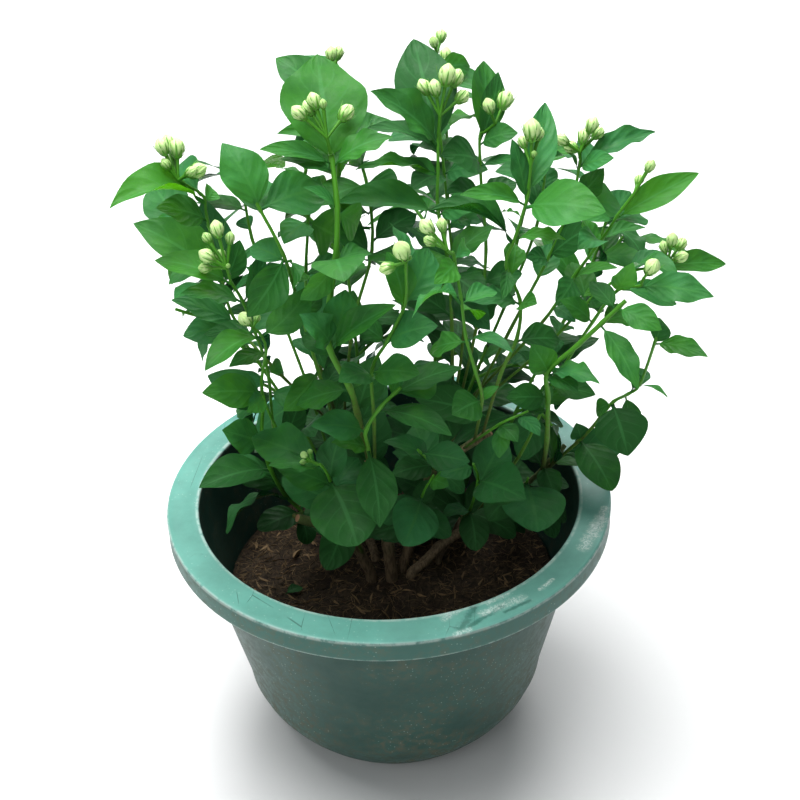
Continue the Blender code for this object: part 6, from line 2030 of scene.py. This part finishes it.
@dataclass
class Soil:
    """The soil: lumpy coir with fibres, crumbs, a pale chip and a fallen leaf."""

    finishes: Finishes
    pot: PotSizes = field(default_factory=PotSizes)
    height: float = 107.0
    gap: float = 0.3
    steps: int = 120
    rings: int = 34
    lump: float = 1.6
    fibres: int = 9500
    chip_mark: Mark = (297, 557)
    chip_long: float = 9.0
    fallen_mark: Mark = (286, 596)
    fallen_end: Mark = (303, 588)
    seed: int = 4

    def top(self, x: float, y: float) -> float:
        """The height of the soil's surface at a place."""
        wave = math.sin(x / 17.0 + 1.3) * math.cos(y / 13.0) + 0.6 * math.sin((x + y) / 9.0)
        clods = noise.fractal(Vector((x / 7.0, y / 7.0, 3.1)), 1.0, 2.0, 4)
        return self.height + self.lump * wave + 1.5 * clods

    def profile(self) -> list[tuple[float, float]]:
        """The soil's section, from the middle of its surface to the middle of its foot."""
        slack = self.pot.wall + self.gap * 1.5
        edge = self.pot.radius(self.height - 3.0) - slack
        line = [(edge * step / self.rings, self.height) for step in range(self.rings)]
        line += [(self.pot.radius(height) - slack, height)
                 for height in (self.height - 3.0, 80.0, self.pot.haunch_height, 38.0, 22.0)]
        low = self.pot.floor + self.gap
        return line + [(self.pot.radius(low) - slack, low), (0.0, low)]

    def uneven(self, x: float, y: float, z: float) -> tuple[float, float, float]:
        """A point of the soil, lifted to the lumpy surface if it is on top."""
        return (x, y, self.top(x, y)) if z > self.height - 1 else (x, y, z)

    def make(self) -> bpy.types.Object:
        """The soil's piece, which stands for its solid."""
        return new_piece("soil_body", lathe(self.profile(), self.steps, self.uneven), self.finishes.soil)

    def litter_tree(self) -> bpy.types.NodeTree:
        """The tree that scatters bits over the top faces of the host, by a fixed seed."""
        tree = Tree("litter")
        shapes = tree.input("Shapes", "NodeSocketCollection")
        finish = tree.input("Finish", "NodeSocketMaterial")
        density = tree.input("Density", "NodeSocketFloat", 60000.0)
        seed = tree.input("Seed", "NodeSocketInt", 1)
        shortest = tree.input("Shortest", "NodeSocketFloat", 0.003)
        longest = tree.input("Longest", "NodeSocketFloat", 0.014)
        host = tree.inputs.outputs["Geometry"]
        scatter = tree.node("GeometryNodeDistributePointsOnFaces", {"Mesh": host, "Density": density,
                                                                    "Seed": seed})
        spin = tree.node("FunctionNodeRandomValue", {"Min": (-0.35, -0.35, 0.0), "Max": (0.35, 0.35, 6.28),
                                                     "Seed": seed}, data_type="FLOAT_VECTOR")
        long = tree.node("FunctionNodeRandomValue", {"Min": shortest, "Max": longest, "Seed": seed},
                         data_type="FLOAT")
        turn = tree.node("FunctionNodeEulerToRotation", {"Euler": spin.outputs[0]}).outputs[0]
        both = tree.node("FunctionNodeRotateRotation", {"Rotation": scatter.outputs["Rotation"],
                                                        "Rotate By": turn}, rotation_space="LOCAL").outputs[0]
        pick = tree.node("GeometryNodeCollectionInfo", {"Collection": shapes, "Separate Children": True,
                                                        "Reset Children": True}).outputs[0]
        length = next(socket for socket in long.outputs if socket.enabled)
        put = tree.node("GeometryNodeInstanceOnPoints", {"Points": scatter.outputs["Points"], "Instance": pick,
                                                         "Pick Instance": True, "Rotation": both,
                                                         "Scale": length}).outputs[0]
        shade = tree.node("FunctionNodeRandomValue", {"Min": 0.0, "Max": 1.0, "Seed": seed}, data_type="FLOAT")
        tone = next(socket for socket in shade.outputs if socket.enabled)
        put = tree.node("GeometryNodeStoreNamedAttribute", {"Geometry": put, "Name": "tone", "Value": tone},
                        data_type="FLOAT", domain="INSTANCE").outputs[0]
        put = tree.node("GeometryNodeRealizeInstances", {"Geometry": put}).outputs[0]
        return tree.end(tree.node("GeometryNodeSetMaterial", {"Geometry": put, "Material": finish}).outputs[0])

    def make_litter(self) -> bpy.types.Object:
        """The loose fibres and crumbs on the soil's surface."""
        shapes = shapes_collection("coir_bits")
        for number, (bend, thick) in enumerate(((0.10, 0.018), (0.28, 0.016), (-0.2, 0.020), (0.05, 0.075),
                                                (0.16, 0.024), (-0.35, 0.015))):
            FibreShape(f"bit_{number}", bend, thick, 2).make(shapes)
        edge = self.pot.radius(self.height) - self.pot.wall - 5.0
        line = [(edge * step / self.rings, self.height) for step in range(self.rings + 1)]
        cap = lathe(line, self.steps, self.uneven)
        for face in cap.faces:
            if face.normal.z < 0:
                face.normal_flip()
        piece = new_piece("coir_litter", cap, self.finishes.litter)
        area = math.pi * (edge * MM) ** 2
        apply_tree(piece, self.litter_tree(), {"Shapes": shapes, "Finish": self.finishes.litter, "Seed": self.seed,
                                               "Density": self.fibres / area, "Shortest": 0.002,
                                               "Longest": 0.010})
        return piece

    def make_chip(self, tree: bpy.types.NodeTree) -> bpy.types.Object:
        """The pale wood chip that lies on the soil."""
        shapes = shapes_collection("chips")
        FibreShape("chip", 0.04, 0.15).make(shapes)
        spot = VIEW.at_height(self.chip_mark, self.height)
        spot[2] = self.top(spot[0], spot[1]) + 1.4
        sprig = Sprig("wood_chip")
        sprig.add(spot, tone=1.0, pose=Quaternion((0.0, 0.0, 1.0), 1.1), size=(self.chip_long,) * 3)
        return sprig.make(tree, shapes, self.finishes.bark, self.finishes.litter)

    def make_fallen(self, tree: bpy.types.NodeTree, leaves: bpy.types.Collection) -> bpy.types.Object:
        """The small leaf that has fallen on the soil."""
        root, tip = (VIEW.at_height(mark, self.height) for mark in (self.fallen_mark, self.fallen_end))
        root[2] = self.top(root[0], root[1]) + 1.2
        tip[2] = self.top(tip[0], tip[1]) + 1.8
        blade = Blade(root, tip, np.array((0.0, -0.15, 1.0)), 8.0, 1.5, False)
        sprig = Sprig("fallen_leaf")
        sprig.add(root, age=0.2, tone=0.2, kind=LeafKind.CUPPED.value, pose=blade.pose(),
                  size=(blade.long, blade.wide, blade.arch))
        return sprig.make(tree, leaves, self.finishes.shoot, self.finishes.leaf)


@dataclass
class Studio:
    """The pale floor, the soft lights and the camera."""

    floor: float = 12.0
    backdrop: float = 0.93
    lens: float = 63.0
    sensor: float = 36.0

    def make(self) -> None:
        """Set the stage."""
        shell = bmesh.new()
        bmesh.ops.create_grid(shell, x_segments=1, y_segments=1, size=self.floor)
        floor = new_piece("floor", shell, FloorFinish().make())
        world = bpy.data.worlds.new("studio")
        world.use_nodes = True
        sky = world.node_tree.nodes["Background"]
        sky.inputs["Color"].default_value = (0.93, 0.97, 1.0, 1.0)
        sky.inputs["Strength"].default_value = 0.26
        nodes, links = world.node_tree.nodes, world.node_tree.links
        wall = nodes.new("ShaderNodeBackground")
        wall.inputs["Strength"].default_value = self.backdrop
        wall.inputs["Color"].default_value = (1.0, 1.0, 1.0, 1.0)
        blend = nodes.new("ShaderNodeMixShader")
        links.new(nodes.new("ShaderNodeLightPath").outputs["Is Camera Ray"], blend.inputs[0])
        links.new(sky.outputs[0], blend.inputs[1])
        links.new(wall.outputs[0], blend.inputs[2])
        links.new(blend.outputs[0], nodes["World Output"].inputs["Surface"])
        bpy.context.scene.world = world
        bpy.context.scene.view_settings.view_transform = "Standard"
        bpy.context.scene.view_settings.gamma = 0.89
        self.light("overhead", (-0.2, 0.1, 1.7), (0.0, 0.0, 0.25), 1.3, 44.0)
        self.light("back_sky", (0.3, 1.6, 1.5), (0.0, 0.0, 0.3), 1.2, 22.0)
        self.light("front_fill", (-0.9, -1.5, 1.2), (0.0, 0.0, 0.3), 1.3, 9.0)
        self.camera()

    def light(self, name: str, place: tuple[float, float, float], aim: tuple[float, float, float], size: float,
              power: float) -> None:
        """A soft square light that shines from a place to another."""
        lamp = bpy.data.lights.new(name, "AREA")
        lamp.size = size
        lamp.energy = power
        holder = bpy.data.objects.new(name, lamp)
        holder.location = place
        holder.rotation_euler = (Vector(aim) - Vector(place)).to_track_quat("-Z", "Y").to_euler()
        bpy.context.scene.collection.objects.link(holder)

    def camera(self) -> None:
        """The camera at the drawing's eye."""
        lens = bpy.data.cameras.new("camera")
        lens.lens = self.lens
        lens.sensor_width = self.sensor
        lens.clip_start = 0.05
        holder = bpy.data.objects.new("camera", lens)
        turn = Matrix(np.column_stack((VIEW.right, VIEW.up, -VIEW.forward)).tolist()).to_4x4()
        holder.matrix_world = Matrix.Translation(Vector(VIEW.eye * MM)) @ turn
        bpy.context.scene.collection.objects.link(holder)
        bpy.context.scene.camera = holder


def fill_leaves(growth: Growth, found: dict[str, list[Blade]], pot: PotSizes) -> dict[str, list[Blade]]:
    """The fill leaves of the whole crown.

    Args:
        growth: The plant's plan.
        found: The leaves that the stems have already, by the stem's name.
        pot: The pot's sizes, which the leaves keep clear of.

    Returns:
        The blades by the name of the piece that they belong to.
    """
    filler = Filler(growth, pot)
    stems = list(growth.stems.values()) + list(growth.woods.values())
    for stem in stems:
        filler.add_stem(stem.path)
        for twig, _ in stem.twigs:
            filler.add_stem(twig)
    for blades in found.values():
        for blade in blades:
            filler.add(blade, drawn=True)
    for places in growth.buds.values():
        filler.stems.take(np.array([middle for middle, _ in places]))
    draw = random.Random(filler.seed)
    pieces: dict[str, list[Blade]] = {}
    for rule in FILL_ROUNDS:
        for stem in stems:
            part = next(part for part in ("left", "right", "back", "middle")
                        if part in stem.name or part == "middle")
            pieces.setdefault(f"inner_leaves_{part}", []).extend(filler.grow(stem, draw, rule))
    return pieces


def place(piece: bpy.types.Object, node: str | None, slot: str) -> None:
    """Let a piece ride on the plant's body, in place of a solid node if one is given."""
    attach(piece, "root")
    if node:
        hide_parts(node)
    count = sum(len(polygon.vertices) - 2 for polygon in piece.data.polygons)
    log.info("%s: %d triangles", piece.name, count)


def main() -> None:
    """Build the plant and its pot, dress them and set the stage."""
    logging.basicConfig(level=logging.INFO, format="%(message)s")
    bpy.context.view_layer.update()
    finishes = Finishes()
    growth = Growth()
    growth.grow()
    leaves = shapes_collection("leaf_shapes")
    for shape in LEAF_SHAPES:
        shape.make(leaves)
    buds = shapes_collection("bud_shapes")
    BudShape("bud").make(buds)
    tree = sprig_tree()
    pot = Pot(finishes)
    place(pot.make(), "pot", "green_plastic")
    soil = Soil(finishes)
    place(soil.make(), "soil", "potting_soil")
    place(soil.make_litter(), None, "potting_soil")
    place(soil.make_chip(tree), None, "potting_soil")
    place(soil.make_fallen(tree, leaves), None, "leaf")
    woody = WoodyStems(growth, finishes, tree, leaves)
    for stem in growth.woods.values():
        place(woody.make(stem), stem.name, "bark")
    foliage = Foliage(growth, finishes, tree, leaves)
    finder = LeafFinder()
    found = {name: finder.find(name) for name in growth.stems}
    for stem in growth.stems.values():
        place(foliage.make(stem, found[stem.name]), stem.name, "leaf")
    for name, blades in fill_leaves(growth, found, pot.sizes).items():
        place(foliage.make_fill(name, blades), None, "leaf")
    clusters = BudClusters(growth, finishes, tree, buds)
    for name in growth.buds:
        place(clusters.make(name), name, "bud")
    Studio().make()


if __name__ == "__main__":
    main()
